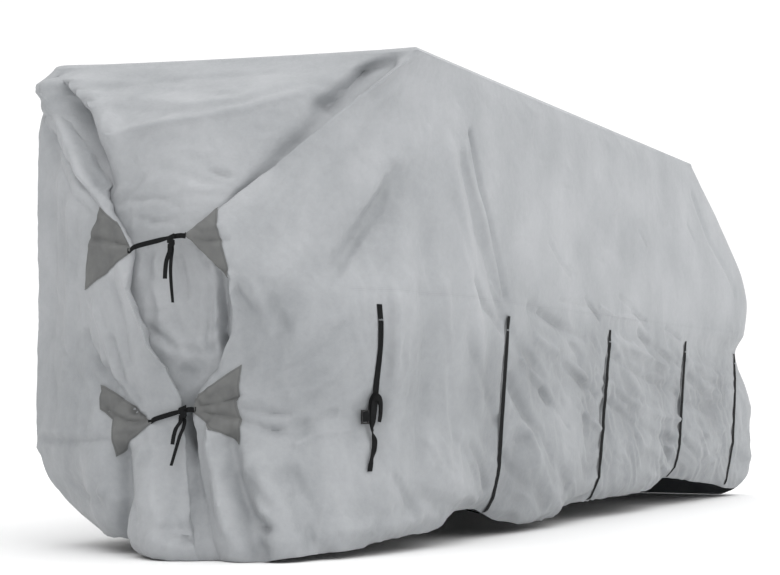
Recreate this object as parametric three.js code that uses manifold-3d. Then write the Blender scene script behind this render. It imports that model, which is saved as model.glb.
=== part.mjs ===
// A fitted weather cover of laminated cloth, hanging as it does in use, hollow and open underneath.
// Millimetres, +Z up. X runs along the length, from the gathered end at -X to the sloping end at +X.
// Y runs across, with the near side at -Y. Z is 0 where the hem of the gathered end is lowest.
import * as THREE from 'three';
import { mergeVertices } from 'three/addons/utils/BufferGeometryUtils.js';
import Module from 'manifold-3d';

const wasm = await Module();
wasm.setup();

// Driving dimensions
const ROOF_HEIGHT = 2925;
const ROOF_CROWN = 30;
const ROOF_LENGTH = 5820;
const WIDTH = 2350;
const ROOF_CORNER_X = -3267.5;
const SEAM_HEIGHT = 1500;
const EAVES_HEIGHT = 2800;
const FREE_HEIGHT = 600; // below this height the rows of the cloth spread out to meet the hem
const CLOTH = 3;
const PATCH_CLOTH = 2;
const CUTTER_DEPTH = 1500; // long enough to cut right through the cloth of one side
const GAP = 0.3;
const STRAP_WIDTH = 40;
const TIE_WIDTH = 25;
const WEBBING = 2;

// Heights of the rows of the cloth, from the hem up to the eaves
const LEVELS = [
  0, 80, 190, 320, 460, FREE_HEIGHT, 710, 800, 890, 1000, 1120, 1240, 1370,
  SEAM_HEIGHT, 1610, 1700, 1790, 1890, 2030, 2190, 2360, 2530, 2680, EAVES_HEIGHT,
];

// Rows past the eaves, from the seam round the roof: the height, and how far the cloth has turned in towards the middle of the roof
const ROOF_ROWS = [
  { z: ROOF_HEIGHT - 28, inward: 6, share: 0 },
  { z: ROOF_HEIGHT, inward: 45, share: 0 },
  { z: ROOF_HEIGHT + 0.6 * ROOF_CROWN, inward: 45, share: 0.4 },
  { z: ROOF_HEIGHT + ROOF_CROWN, inward: 45, share: 0.85 },
];

// Columns of the cloth in each stretch of a level section, in order round the cover
const COLUMNS = { side: 18, turn: 22, tuck: 2, swag: 10, lap: 12, farSide: 14, slope: 12 };

const rightEdgeColumn = COLUMNS.side + COLUMNS.turn;
const leftEdgeColumn = rightEdgeColumn + 2 * COLUMNS.tuck + COLUMNS.swag;

// In these tables z is the height, out the reach past the near roof corner towards -X,
// and across the distance in from the near roof edge towards +Y.
const RIGHT_LAP_EDGE = [
  { z: 2890, out: 0, across: 0 },
  { z: 1790, out: 860, across: 1035 },
  { z: 1540, out: 820, across: 760 },
  { z: 1240, out: 800, across: 780 },
  { z: 1050, out: 775, across: 880 },
  { z: 890, out: 755, across: 1020 },
  { z: 800, out: 750, across: 1045 },
  { z: 460, out: 790, across: 960 },
  { z: 0, out: 900, across: 790 },
];
const LEFT_LAP_EDGE = [
  { z: 2890, out: 400, across: 2200 },
  { z: 2780, out: 450, across: 2270 },
  { z: 1730, out: 860, across: 1400 },
  { z: 1500, out: 835, across: 1435 },
  { z: 1330, out: 825, across: 1356 },
  { z: 1050, out: 805, across: 1200 },
  { z: 870, out: 775, across: 1110 },
  { z: 800, out: 765, across: 1110 },
  { z: 460, out: 820, across: 1040 },
  { z: 0, out: 970, across: 890 },
];
const SWAG_MIDDLE = [
  { z: 2890, out: 150, across: 1150 },
  { z: 2720, out: 350, across: 1150 },
  { z: 2565, out: 510, across: 1160 },
  { z: 2300, out: 660, across: 1180 },
  { z: 2030, out: 750, across: 1190 },
  { z: 1790, out: 790, across: 1190 },
  { z: 1500, out: 730, across: 1100 },
  { z: 1240, out: 735, across: 1080 },
  { z: 1000, out: 700, across: 1060 },
  { z: 800, out: 660, across: 1080 },
  { z: 460, out: 700, across: 1000 },
  { z: 0, out: 820, across: 840 },
];
const TUCK = [
  { z: 2890, under: 15, deep: 15 },
  { z: 2600, under: 50, deep: 50 },
  { z: 1790, under: 50, deep: 50 },
  { z: 1240, under: 60, deep: 55 },
  { z: 800, under: 40, deep: 40 },
  { z: 0, under: 25, deep: 45 },
];
// How the near side turns into the right lap: two handles of a curve between them
const NEAR_TURN = [
  { z: 2890, sideOut: -600, lapOut: -300, lapAcross: 0 },
  { z: 2340, sideOut: -150, lapOut: 270, lapAcross: 190 },
  { z: 1790, sideOut: 200, lapOut: 800, lapAcross: 550 },
  { z: 1240, sideOut: 250, lapOut: 810, lapAcross: 420 },
  { z: 800, sideOut: 230, lapOut: 790, lapAcross: 520 },
  { z: 400, sideOut: 270, lapOut: 950, lapAcross: 370 },
  { z: 0, sideOut: 350, lapOut: 1150, lapAcross: 250 },
];
// The far upright corner of the gathered end, and the handles of the left lap's curve
const FAR_CORNER = [
  { z: 2890, out: 340, across: 2330, lapOut: 420, lapAcross: 2270, edgeOut: 400, edgeAcross: 2240 },
  { z: 2790, out: 440, across: 2370, lapOut: 470, lapAcross: 2300, edgeOut: 470, edgeAcross: 2250 },
  { z: 2700, out: 430, across: 2335, lapOut: 500, lapAcross: 2280, edgeOut: 520, edgeAcross: 2200 },
  { z: 1790, out: 430, across: 2335, lapOut: 560, lapAcross: 2120, edgeOut: 820, edgeAcross: 1750 },
  { z: 1000, out: 430, across: 2345, lapOut: 570, lapAcross: 2110, edgeOut: 800, edgeAcross: 1650 },
  { z: 710, out: 430, across: 2360, lapOut: 620, lapAcross: 2080, edgeOut: 830, edgeAcross: 1600 },
  { z: 460, out: 425, across: 2320, lapOut: 560, lapAcross: 1950, edgeOut: 1000, edgeAcross: 1500 },
  { z: 190, out: 410, across: 2260, lapOut: 420, lapAcross: 1820, edgeOut: 1180, edgeAcross: 1380 },
  { z: 0, out: 400, across: 2190, lapOut: 350, lapAcross: 1750, edgeOut: 1250, edgeAcross: 1300 },
];
// How far the long sides stand out past the roof edge: all along, and more near the sloping end
const SIDE_SWELL = [
  { z: 2890, all: 0, far: 0 },
  { z: 2400, all: 30, far: 40 },
  { z: 1900, all: 50, far: 90 },
  { z: 1500, all: 50, far: 70 },
  { z: 1310, all: 45, far: 0 },
  { z: 1000, all: 10, far: 30 },
  { z: 760, all: -20, far: 50 },
  { z: 400, all: -45, far: 50 },
  { z: 0, all: -100, far: 40 },
];
// The sloping end: where its corners start, past the near roof corner, and how far it stands out from them
const SLOPING_END = [
  { z: 2890, corner: 5720, reach: 120 },
  { z: 2770, corner: 5860, reach: 250 },
  { z: 2460, corner: 6300, reach: 330 },
  { z: 1960, corner: 6800, reach: 360 },
  { z: 1730, corner: 6920, reach: 380 },
  { z: 1314, corner: 6850, reach: 330 },
  { z: 1040, corner: 7000, reach: 360 },
  { z: 430, corner: 7120, reach: 360 },
  { z: 190, corner: 7200, reach: 360 },
  { z: 0, corner: 7120, reach: 330 },
];
// Height of the hem: along the near side by its distance past the near roof corner, then across the gathered end
const SIDE_HEM = [
  { along: 7400, z: 60 },
  { along: 7100, z: 75 },
  { along: 6600, z: 130 },
  { along: 5960, z: 180 },
  { along: 5290, z: 232 },
  { along: 4780, z: 160 },
  { along: 3750, z: 136 },
  { along: 3060, z: 139 },
  { along: 2740, z: 119 },
  { along: 2430, z: 52 },
  { along: 1940, z: 53 },
  { along: 1580, z: 88 },
  { along: 1070, z: 193 },
  { along: 800, z: 195 },
  { along: 520, z: 100 },
  { along: -50, z: 80 },
  { along: -290, z: 70 },
];
const END_HEM = [
  { across: 2350, z: 320 },
  { across: 2180, z: 290 },
  { across: 2070, z: 190 },
  { across: 1790, z: 100 },
  { across: 1600, z: 90 },
  { across: 1310, z: 30 },
  { across: 1030, z: 0 },
  { across: 600, z: 0 },
  { across: 250, z: 40 },
  { across: 0, z: 70 },
];

// Folds of the cloth, as routes of [out, across, z] along which it stands out (+) or falls in (-) by a depth,
// fading with distance over a spread
const FOLDS = [
  { name: 'drag from roof corner to lower tie', depth: -55, spread: 130,
    route: [[40, 140, 2060], [390, 310, 1770], [520, 370, 1620], [710, 520, 1370], [760, 740, 1120]] },
  { name: 'ridge above that drag', depth: 30, spread: 120,
    route: [[-60, 60, 2350], [330, 250, 2000], [600, 480, 1680], [780, 640, 1500]] },
  { name: 'side drag to the first strap', depth: -40, spread: 90,
    route: [[-640, -30, 2300], [-800, -50, 1920], [-960, -50, 1750], [-1210, -50, 1410]] },
  { name: 'side fold beside it', depth: 28, spread: 90,
    route: [[-450, -10, 2350], [-600, -30, 1920], [-700, -50, 1500], [-900, -20, 900]] },
  { name: 'upright fold near the corner', depth: 32, spread: 85,
    route: [[-10, 120, 2000], [40, 90, 1450], [-10, 160, 760], [160, 160, 310]] },
  { name: 'upright hollow near the corner', depth: -30, spread: 85,
    route: [[-190, 30, 1900], [-200, 20, 1450], [-230, 60, 700], [-120, 90, 310]] },
  { name: 'valley left of the main lobe', depth: -110, spread: 75,
    route: [[810, 1500, 560], [870, 1430, 320], [850, 1500, 60]] },
  { name: 'main lobe', depth: 40, spread: 120,
    route: [[820, 1280, 560], [910, 1220, 320], [1000, 1110, 60]] },
  { name: 'left lobe', depth: 45, spread: 110,
    route: [[720, 1680, 520], [700, 1720, 320], [620, 1700, 120]] },
  { name: 'lobe right of the slit', depth: 35, spread: 80,
    route: [[770, 890, 600], [840, 780, 330], [930, 690, 60]] },
  { name: 'valley at the second notch', depth: -75, spread: 60,
    route: [[770, 800, 640], [830, 660, 330], [920, 540, 40]] },
  { name: 'third lobe', depth: 40, spread: 90,
    route: [[750, 610, 520], [810, 490, 250], [850, 410, 40]] },
  { name: 'valley at the third notch', depth: -60, spread: 70,
    route: [[680, 470, 440], [670, 350, 220], [650, 270, 40]] },
  { name: 'ridge under the far ear', depth: 45, spread: 90,
    route: [[420, 2130, 2790], [480, 1950, 2700], [590, 1730, 2460]] },
  { name: 'hollow beside the far ear', depth: -45, spread: 70,
    route: [[510, 2130, 2680], [560, 2010, 2520], [640, 1880, 2330]] },
  { name: 'shoulder of the swag', depth: 35, spread: 150,
    route: [[600, 1720, 2430], [490, 1170, 2570], [400, 960, 2620], [130, 410, 2760]] },
  { name: 'fold of the hanging middle', depth: 35, spread: 70,
    route: [[800, 1290, 1180], [710, 1090, 1140], [780, 860, 1200]] },
  { name: 'upright fold under the right patch', depth: 28, spread: 45,
    route: [[770, 970, 1640], [720, 960, 1240]] },
  { name: 'crease across the left lap', depth: 18, spread: 110,
    route: [[560, 2060, 730], [700, 1770, 730]] },
  { name: 'bulge between first and second strap', depth: 75, spread: 420,
    route: [[-1950, -20, 420], [-2450, -20, 420]] },
  { name: 'bulge between second and third strap', depth: 60, spread: 420,
    route: [[-4000, -20, 420], [-4500, -20, 420]] },
  { name: 'bulge between third and fourth strap', depth: 50, spread: 380,
    route: [[-5900, -40, 420], [-6300, -40, 420]] },
  { name: 'bulge before the first strap', depth: 60, spread: 330,
    route: [[-300, 60, 380], [-600, 60, 380]] },
  { name: 'bulge at the far corner', depth: 150, spread: 300,
    route: [[-7300, 20, 800], [-7400, 20, 250]] },
  { name: 'far side bulge one', depth: 70, spread: 420,
    route: [[-1700, 2370, 450], [-2500, 2370, 450]] },
  { name: 'far side bulge two', depth: 60, spread: 420,
    route: [[-4000, 2370, 450], [-4500, 2370, 450]] },
  { name: 'far side bulge three', depth: 60, spread: 420,
    route: [[-5800, 2370, 450], [-6400, 2370, 450]] },
  { name: 'far side drag', depth: -40, spread: 160,
    route: [[-600, 2400, 2300], [-1300, 2400, 1400]] },
  { name: 'fold down the sloping end', depth: 40, spread: 180,
    route: [[-6300, 800, 2600], [-7350, 900, 1600], [-7450, 850, 200]] },
  { name: 'hollow down the sloping end', depth: -45, spread: 200,
    route: [[-6300, 1500, 2600], [-7350, 1500, 1600], [-7450, 1600, 200]] },
];

const lerp = THREE.MathUtils.lerp;

// Slope of one column of a table at a row, level where that column peaks or dips there.
function slopeAt(rows, at, column, key) {
  const between = (i) => (rows[i + 1][key] - rows[i][key]) / (rows[i + 1][column] - rows[i][column]);
  if (at === 0) return between(0);
  if (at === rows.length - 1) return between(at - 1);
  const before = between(at - 1);
  const after = between(at);
  return before * after > 0 ? (2 * before * after) / (before + after) : 0;
}

// One row of a table at a value of its leading column, which falls from row to row: straight between
// the rows, or on a smooth curve through them.
function rowAt(rows, column, value, smooth = false) {
  const below = rows.findIndex((row) => row[column] <= value);
  if (below === 0) return rows[0];
  if (below < 0) return rows.at(-1);
  const high = rows[below - 1];
  const low = rows[below];
  const span = low[column] - high[column];
  const share = (value - high[column]) / span;
  const valueOf = (key) => {
    if (!smooth) return lerp(high[key], low[key], share);
    const rise = span * slopeAt(rows, below - 1, column, key);
    const fall = span * slopeAt(rows, below, column, key);
    const change = low[key] - high[key];
    const cubic = rise + fall - 2 * change;
    return high[key] + share * (rise + share * (3 * change - 2 * rise - fall + share * cubic));
  };
  return Object.fromEntries(Object.keys(low).map((key) => [key, valueOf(key)]));
}

// A point of a level section, from its reach past the roof corner and its distance across.
const planPoint = (out, across) => new THREE.Vector2(ROOF_CORNER_X - out, across - WIDTH / 2);
const planRow = (row) => planPoint(row.out, row.across);

// The first points of a curve cut into equal steps, without its last, which starts the next stretch.
function stretch(curve, count) {
  return Array.from({ length: count }, (_, step) => curve.getPoint(step / count));
}

function swellAt(z, along) {
  const row = rowAt(SIDE_SWELL, 'z', z, true);
  return row.all + row.far * THREE.MathUtils.smoothstep(along, 4300, 6700);
}

// Where the cloth tucks back behind the edge of a lap, so that the swag passes under it.
function tuckPoints(edge, handle, z, side) {
  const { under, deep } = rowAt(TUCK, 'z', z);
  const back = handle.clone().sub(edge).normalize();
  const inward = new THREE.Vector2(-back.y, back.x).multiplyScalar(side);
  const tuck = edge.clone().addScaledVector(back, under).addScaledVector(inward, deep);
  const turn = edge.clone().addScaledVector(back, 0.15 * under).addScaledVector(inward, 0.6 * deep);
  return { turn, tuck };
}

// The level section of the cloth at a height, clockwise from above, from the far end of the near side.
function sectionAt(z) {
  const slope = rowAt(SLOPING_END, 'z', z, true);
  const sideStart = -900;
  const near = (along) => planPoint(-along, -swellAt(z, along));

  const side = Array.from({ length: COLUMNS.side }, (_, step) => {
    const share = Math.pow(step / COLUMNS.side, 0.85);
    return near(lerp(slope.corner, -sideStart, share));
  });

  const rightEdge = planRow(rowAt(RIGHT_LAP_EDGE, 'z', z));
  const turnRow = rowAt(NEAR_TURN, 'z', z, true);
  const rightHandle = planPoint(turnRow.lapOut, turnRow.lapAcross);
  const turn = new THREE.CubicBezierCurve(
    near(-sideStart),
    planPoint(turnRow.sideOut, -swellAt(z, 0)),
    rightHandle,
    rightEdge,
  );

  const leftEdge = planRow(rowAt(LEFT_LAP_EDGE, 'z', z));
  const corner = rowAt(FAR_CORNER, 'z', z, true);
  const leftHandle = planPoint(corner.edgeOut, corner.edgeAcross);
  const lap = new THREE.CubicBezierCurve(
    leftEdge,
    leftHandle,
    planPoint(corner.lapOut, corner.lapAcross),
    planRow(corner),
  );

  const right = tuckPoints(rightEdge, rightHandle, z, 1);
  const left = tuckPoints(leftEdge, leftHandle, z, -1);
  const middle = planRow(rowAt(SWAG_MIDDLE, 'z', z, true));
  const pull = middle.clone().multiplyScalar(2).sub(right.tuck.clone().lerp(left.tuck, 0.5));
  const swag = new THREE.QuadraticBezierCurve(right.tuck, pull, left.tuck);

  const farSide = Array.from({ length: COLUMNS.farSide }, (_, step) => {
    const along = lerp(-corner.out, slope.corner, Math.pow(step / COLUMNS.farSide, 1.15));
    const swelling = THREE.MathUtils.smoothstep(along, -corner.out, 1200);
    return planPoint(-along, lerp(corner.across, WIDTH + swellAt(z, along), swelling));
  });

  const end = Array.from({ length: COLUMNS.slope }, (_, step) => {
    const angle = (0.5 - step / COLUMNS.slope) * Math.PI;
    const boxy = (value) => Math.sign(value) * Math.pow(Math.abs(value), 0.5);
    const halfWidth = WIDTH / 2 + swellAt(z, slope.corner);
    const along = slope.corner + slope.reach * boxy(Math.cos(angle));
    return new THREE.Vector2(ROOF_CORNER_X + along, halfWidth * boxy(Math.sin(angle)));
  });

  return [
    ...side,
    ...stretch(turn, COLUMNS.turn),
    rightEdge,
    right.turn,
    ...stretch(swag, COLUMNS.swag),
    left.tuck,
    left.turn,
    ...stretch(lap, COLUMNS.lap),
    ...farSide,
    ...end,
  ];
}

// Height of the hem under a point of the lowest section.
function hemHeight(point) {
  const along = point.x - ROOF_CORNER_X;
  const across = point.y + WIDTH / 2;
  const sideHem = rowAt(SIDE_HEM, 'along', along, true).z;
  const endHem = rowAt(END_HEM, 'across', across, true).z;
  const settled = across > WIDTH / 2 ? 1000 : -200;
  return lerp(endHem, sideHem, THREE.MathUtils.smoothstep(along, -350, settled));
}

// The middle of the roof, towards which the roof's rows close.
function roofMiddle(point) {
  const inset = 1150;
  const x = THREE.MathUtils.clamp(point.x, ROOF_CORNER_X + inset, ROOF_CORNER_X + ROOF_LENGTH - inset);
  return new THREE.Vector2(x, 0);
}

const routes = FOLDS.map((fold) => fold.route.map(([out, across, z]) => {
  const { x, y } = planPoint(out, across);
  return new THREE.Vector3(x, y, z);
}));

// How far the folds push a point of the cloth out from the middle of the cover.
function foldPush(point) {
  const nearest = new THREE.Vector3();
  return FOLDS.reduce((push, fold, at) => {
    const route = routes[at];
    const gaps = route.slice(1).map((end, i) => {
      return new THREE.Line3(route[i], end).closestPointToPoint(point, true, nearest).distanceTo(point);
    });
    return push + fold.depth * Math.exp(-Math.pow(Math.min(...gaps) / fold.spread, 2));
  }, 0);
}

function folded(point) {
  const outward = new THREE.Vector2(point.x, point.y).sub(roofMiddle(point)).setLength(foldPush(point));
  return point.add(new THREE.Vector3(outward.x, outward.y, 0));
}

// A section with the points of each tuck spread evenly between their neighbours, so that it lies flat.
function untucked(section) {
  const points = section.map((point) => point.clone());
  const tucks = [rightEdgeColumn, leftEdgeColumn - 3];
  for (const start of tucks) {
    for (const step of [1, 2]) points[start + step] = points[start].clone().lerp(points[start + 3], step / 3);
  }
  return points;
}

function clothGrid() {
  const hemSection = sectionAt(0);
  const rows = LEVELS.map((level) => {
    const lift = Math.max(0, 1 - level / FREE_HEIGHT);
    return sectionAt(level).map((point, column) => {
      const z = level + lift * hemHeight(hemSection[column]);
      return folded(new THREE.Vector3(point.x, point.y, z));
    });
  });
  const roofEdge = untucked(sectionAt(ROOF_HEIGHT));
  for (const { z, inward, share } of ROOF_ROWS) {
    rows.push(roofEdge.map((point) => {
      const middle = roofMiddle(point);
      const moved = point.clone().lerp(middle, inward / point.distanceTo(middle)).lerp(middle, share);
      return new THREE.Vector3(moved.x, moved.y, z);
    }));
  }
  return rows;
}

// Outward normals of the cloth at every point of the grid, which is closed all round.
function clothNormals(rows) {
  const count = rows[0].length;
  const normals = rows.map((row) => row.map(() => new THREE.Vector3()));
  const faceNormal = new THREE.Vector3();
  for (let row = 0; row < rows.length - 1; row += 1) {
    for (let column = 0; column < count; column += 1) {
      const next = (column + 1) % count;
      const up = rows[row + 1][next].clone().sub(rows[row][column]);
      const down = rows[row][next].clone().sub(rows[row + 1][column]);
      faceNormal.crossVectors(up, down);
      for (const [r, c] of [[row, column], [row, next], [row + 1, column], [row + 1, next]]) {
        normals[r][c].add(faceNormal);
      }
    }
  }
  return normals.map((row) => row.map((normal) => normal.normalize()));
}

const grid = clothGrid();
const normals = clothNormals(grid);
const columnCount = grid[0].length;
const seamRow = LEVELS.indexOf(SEAM_HEIGHT);
const roofSeamRow = LEVELS.length; // the first of the rows of the roof

function lifted(row, column, lift) {
  const at = (column + columnCount) % columnCount;
  return grid[row][at].clone().addScaledVector(normals[row][at], lift);
}

// Whether the cell above a point of the grid is cut along its other, shorter diagonal.
function cutAcross(row, column) {
  const next = (column + 1) % columnCount;
  const [here, beside] = [column % columnCount, next];
  const rising = grid[row][here].distanceTo(grid[row + 1][beside]);
  return grid[row][beside].distanceTo(grid[row + 1][here]) < rising;
}

// The two layers of a cell of cloth, front and back, from its corners in order round the cell.
function cell(index, front, back, across) {
  const turn = across ? 1 : 0;
  const [a, b, c, d] = [0, 1, 2, 3].map((k) => front[(k + turn) % 4]);
  const [p, q, r, s] = [0, 1, 2, 3].map((k) => back[(k + turn) % 4]);
  index.push(a, b, c, a, c, d, p, r, q, p, s, r);
}

// A closed sheet between two faces given as columns of points, the front one facing out.
function sheetGeometry(front, back, columns, rows) {
  const wide = front.length;
  const high = front[0].length;
  const vertex = (layer, column, row) => (layer * wide + column) * high + row;
  const corners = (layer, i, j) => [[i, j], [i, j + 1], [i + 1, j + 1], [i + 1, j]].map((at) => vertex(layer, ...at));
  const index = [];
  const face = (a, b, c, d) => index.push(a, b, c, a, c, d);
  for (let i = 0; i < wide - 1; i += 1) {
    for (let j = 0; j < high - 1; j += 1) {
      cell(index, corners(0, i, j), corners(1, i, j), cutAcross(rows[0] + j, columns[0] + i));
    }
    face(vertex(0, i, 0), vertex(0, i + 1, 0), vertex(1, i + 1, 0), vertex(1, i, 0));
    face(vertex(1, i + 1, high - 1), vertex(0, i + 1, high - 1), vertex(0, i, high - 1), vertex(1, i, high - 1));
  }
  for (let j = 0; j < high - 1; j += 1) {
    face(vertex(0, 0, j + 1), vertex(0, 0, j), vertex(1, 0, j), vertex(1, 0, j + 1));
    face(vertex(1, wide - 1, j), vertex(0, wide - 1, j), vertex(0, wide - 1, j + 1), vertex(1, wide - 1, j + 1));
  }
  return indexed([...front.flat(), ...back.flat()], index);
}

function indexed(points, index) {
  const geometry = new THREE.BufferGeometry();
  geometry.setAttribute('position', new THREE.Float32BufferAttribute(points.flatMap((p) => p.toArray()), 3));
  geometry.setIndex(index);
  return geometry;
}

// Draws the outermost columns or rows of a face in by half a seam's gap.
function drawnIn(face, ends) {
  const half = GAP / 2;
  const towards = (from, to) => to.clone().sub(from).setLength(half);
  const last = face.length - 1;
  const moved = face.map((column) => column.map((point) => point.clone()));
  for (let j = 0; j < face[0].length; j += 1) {
    if (ends.sides) moved[0][j].add(towards(face[0][j], face[1][j]));
    if (ends.sides) moved[last][j].add(towards(face[last][j], face[last - 1][j]));
  }
  for (let i = 0; i <= last; i += 1) {
    const top = face[i].length - 1;
    if (ends.top) moved[i][top].add(towards(face[i][top], face[i][top - 1]));
    if (ends.bottom) moved[i][0].add(towards(face[i][0], face[i][1]));
  }
  return moved;
}

// Part of the cloth between two columns and two rows, as columns of points at a distance from its face.
function region(columns, rows, lift) {
  const face = [];
  for (let column = columns[0]; column <= columns[1]; column += 1) {
    const points = [];
    for (let row = rows[0]; row <= rows[1]; row += 1) points.push(lifted(row, column, lift));
    face.push(points);
  }
  return face;
}

function panelGeometry(columns, rows, ends) {
  const [front, back] = [0, -CLOTH].map((lift) => drawnIn(region(columns, rows, lift), ends));
  return sheetGeometry(front, back, columns, rows);
}

// The roof: rings that close from its seam to the middle, and a flat facing that joins the last of them.
function roofGeometry() {
  const rings = [0, -CLOTH].map((lift) => {
    const rows = [];
    for (let row = roofSeamRow; row < grid.length; row += 1) {
      rows.push(grid[row].map((_, column) => lifted(row, column, lift)));
    }
    rows[0] = rows[0].map((point, i) => point.add(rows[1][i].clone().sub(point).setLength(GAP / 2)));
    return rows;
  });
  const high = rings[0].length;
  const vertex = (layer, column, row) => (layer * high + row) * columnCount + (column % columnCount);
  const index = [];
  const corners = (layer, i, j) => [[i, j], [i, j + 1], [i + 1, j + 1], [i + 1, j]].map((at) => vertex(layer, ...at));
  for (let i = 0; i < columnCount; i += 1) {
    for (let j = 0; j < high - 1; j += 1) {
      cell(index, corners(0, i, j), corners(1, i, j), cutAcross(roofSeamRow + j, i));
    }
    const [a, b, c, d] = [vertex(0, i, 0), vertex(0, i + 1, 0), vertex(1, i + 1, 0), vertex(1, i, 0)];
    index.push(a, b, c, a, c, d);
  }
  const outline = rings[0][high - 1].map((point) => new THREE.Vector2(point.x, point.y));
  for (const [a, b, c] of THREE.ShapeUtils.triangulateShape(outline, [])) {
    const upward = THREE.ShapeUtils.area([outline[a], outline[b], outline[c]]) > 0;
    const [p, q, r] = upward ? [a, b, c] : [a, c, b];
    index.push(vertex(0, p, high - 1), vertex(0, q, high - 1), vertex(0, r, high - 1));
    index.push(vertex(1, p, high - 1), vertex(1, r, high - 1), vertex(1, q, high - 1));
  }
  return indexed(rings.flat(2), index);
}

const cloth = new THREE.MeshStandardMaterial({ color: 0xa9abae, roughness: 0.62, metalness: 0 });
const patchCloth = new THREE.MeshStandardMaterial({ color: 0x6f7070, roughness: 0.75, metalness: 0 });
const webbing = new THREE.MeshStandardMaterial({ color: 0x2a2c2e, roughness: 0.7, metalness: 0 });
const plastic = new THREE.MeshStandardMaterial({ color: 0x1f2022, roughness: 0.45, metalness: 0 });

const cover = new THREE.Group();
cover.name = 'cover';

function add(name, geometry, material) {
  const mesh = new THREE.Mesh(geometry, material);
  mesh.name = name;
  cover.add(mesh);
  return mesh;
}

// A closed geometry as a solid that can be cut and joined, and back.
function toSolid(geometry) {
  const bare = new THREE.BufferGeometry();
  bare.setAttribute('position', geometry.getAttribute('position'));
  bare.setIndex(geometry.index);
  const merged = mergeVertices(bare, 1e-3);
  const mesh = { numProp: 3, vertProperties: merged.attributes.position.array, triVerts: merged.index.array };
  return new wasm.Manifold(new wasm.Mesh({ ...mesh, triVerts: new Uint32Array(mesh.triVerts) }));
}

function fromSolid(solid) {
  const mesh = solid.getMesh();
  const geometry = new THREE.BufferGeometry();
  geometry.setAttribute('position', new THREE.BufferAttribute(mesh.vertProperties.slice(), 3));
  geometry.setIndex(new THREE.BufferAttribute(mesh.triVerts.slice(), 1));
  return geometry;
}

// A layer of a thickness that lies on part of the cloth.
function skin(columns, rows, thick) {
  return toSolid(sheetGeometry(region(columns, rows, GAP + thick), region(columns, rows, GAP), columns, rows));
}

// A patch sewn on the gathered end: a layer over part of the cloth, cut to an outline of [across, z].
function patchGeometry({ columns, rows, outline }) {
  const shape = new THREE.Shape(outline.map(([across, z]) => new THREE.Vector2(across - WIDTH / 2, z)));
  const cutter = new THREE.ExtrudeGeometry(shape, { depth: CUTTER_DEPTH, bevelEnabled: false });
  const axes = [new THREE.Vector3(0, 1, 0), new THREE.Vector3(0, 0, 1), new THREE.Vector3(1, 0, 0)];
  cutter.applyMatrix4(new THREE.Matrix4().makeBasis(...axes));
  cutter.translate(ROOF_CORNER_X - 0.87 * CUTTER_DEPTH, 0, 0);
  return fromSolid(skin(columns, rows, PATCH_CLOTH).intersect(toSolid(cutter)));
}

// A strap lying down the cloth below a height: a layer cut by an upright slab that faces along a direction.
function strapOnCloth({ columns, rows, at, facing, top, bottom }) {
  const slab = new THREE.BoxGeometry(STRAP_WIDTH, 0.6 * CUTTER_DEPTH, top - bottom);
  slab.rotateZ(Math.atan2(facing.y, facing.x) - Math.PI / 2);
  slab.translate(at.x, at.y, (top + bottom) / 2);
  return skin(columns, rows, WEBBING).intersect(toSolid(slab));
}

// Where a straight line first meets a piece: the point moved off its face, and the face's normal.
function touch(piece, point, direction, lift) {
  const start = point.clone().addScaledVector(direction, -3000);
  const ray = new THREE.Raycaster(start, direction);
  const [met] = ray.intersectObject(piece);
  const normal = met.face.normal.clone();
  return { at: met.point.clone().addScaledVector(normal, lift), normal };
}

// A flat band of webbing along a route; each section has its middle, the direction of its width and its width.
function bandGeometry(sections, thick) {
  const corners = sections.map(({ at, wide, width = TIE_WIDTH }, i) => {
    const before = sections[Math.max(i - 1, 0)].at;
    const after = sections[Math.min(i + 1, sections.length - 1)].at;
    const forward = after.clone().sub(before).normalize();
    const side = wide.clone().addScaledVector(forward, -wide.dot(forward)).setLength(width / 2);
    const face = forward.clone().cross(side).setLength(thick / 2);
    return [[1, 1], [-1, 1], [-1, -1], [1, -1]].map(([a, b]) => {
      return at.clone().addScaledVector(side, a).addScaledVector(face, b);
    });
  });
  const last = corners.length - 1;
  const index = [0, 2, 1, 0, 3, 2];
  for (let i = 0; i < last; i += 1) {
    for (let k = 0; k < 4; k += 1) {
      const [a, b] = [4 * i + k, 4 * i + ((k + 1) % 4)];
      index.push(a, b, b + 4, a, b + 4, a + 4);
    }
  }
  const end = 4 * last;
  index.push(end, end + 1, end + 2, end, end + 2, end + 3);
  return indexed(corners.flat(), index);
}

// Columns at which the panels meet, in order round the cover
const sideEnd = COLUMNS.side + COLUMNS.turn / 2;
const lapEnd = leftEdgeColumn + COLUMNS.lap;
const farEnd = lapEnd + COLUMNS.farSide;
const lower = [0, seamRow];
const upper = [seamRow, roofSeamRow];
const nearLower = add('near_side_lower', panelGeometry([0, sideEnd], lower, { sides: true, top: true }), cloth);
add('near_side_upper', panelGeometry([0, sideEnd], upper, { sides: true, top: true, bottom: true }), cloth);
const gatheredEnd = add(
  'gathered_end',
  panelGeometry([sideEnd, lapEnd], [0, roofSeamRow], { sides: true, top: true }),
  cloth,
);
const farLower = add('far_side_lower', panelGeometry([lapEnd, farEnd], lower, { sides: true, top: true }), cloth);
add('far_side_upper', panelGeometry([lapEnd, farEnd], upper, { sides: true, top: true, bottom: true }), cloth);
add('sloping_end', panelGeometry([farEnd, columnCount], [0, roofSeamRow], { sides: true, top: true }), cloth);
add('roof', roofGeometry(), cloth);

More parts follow.
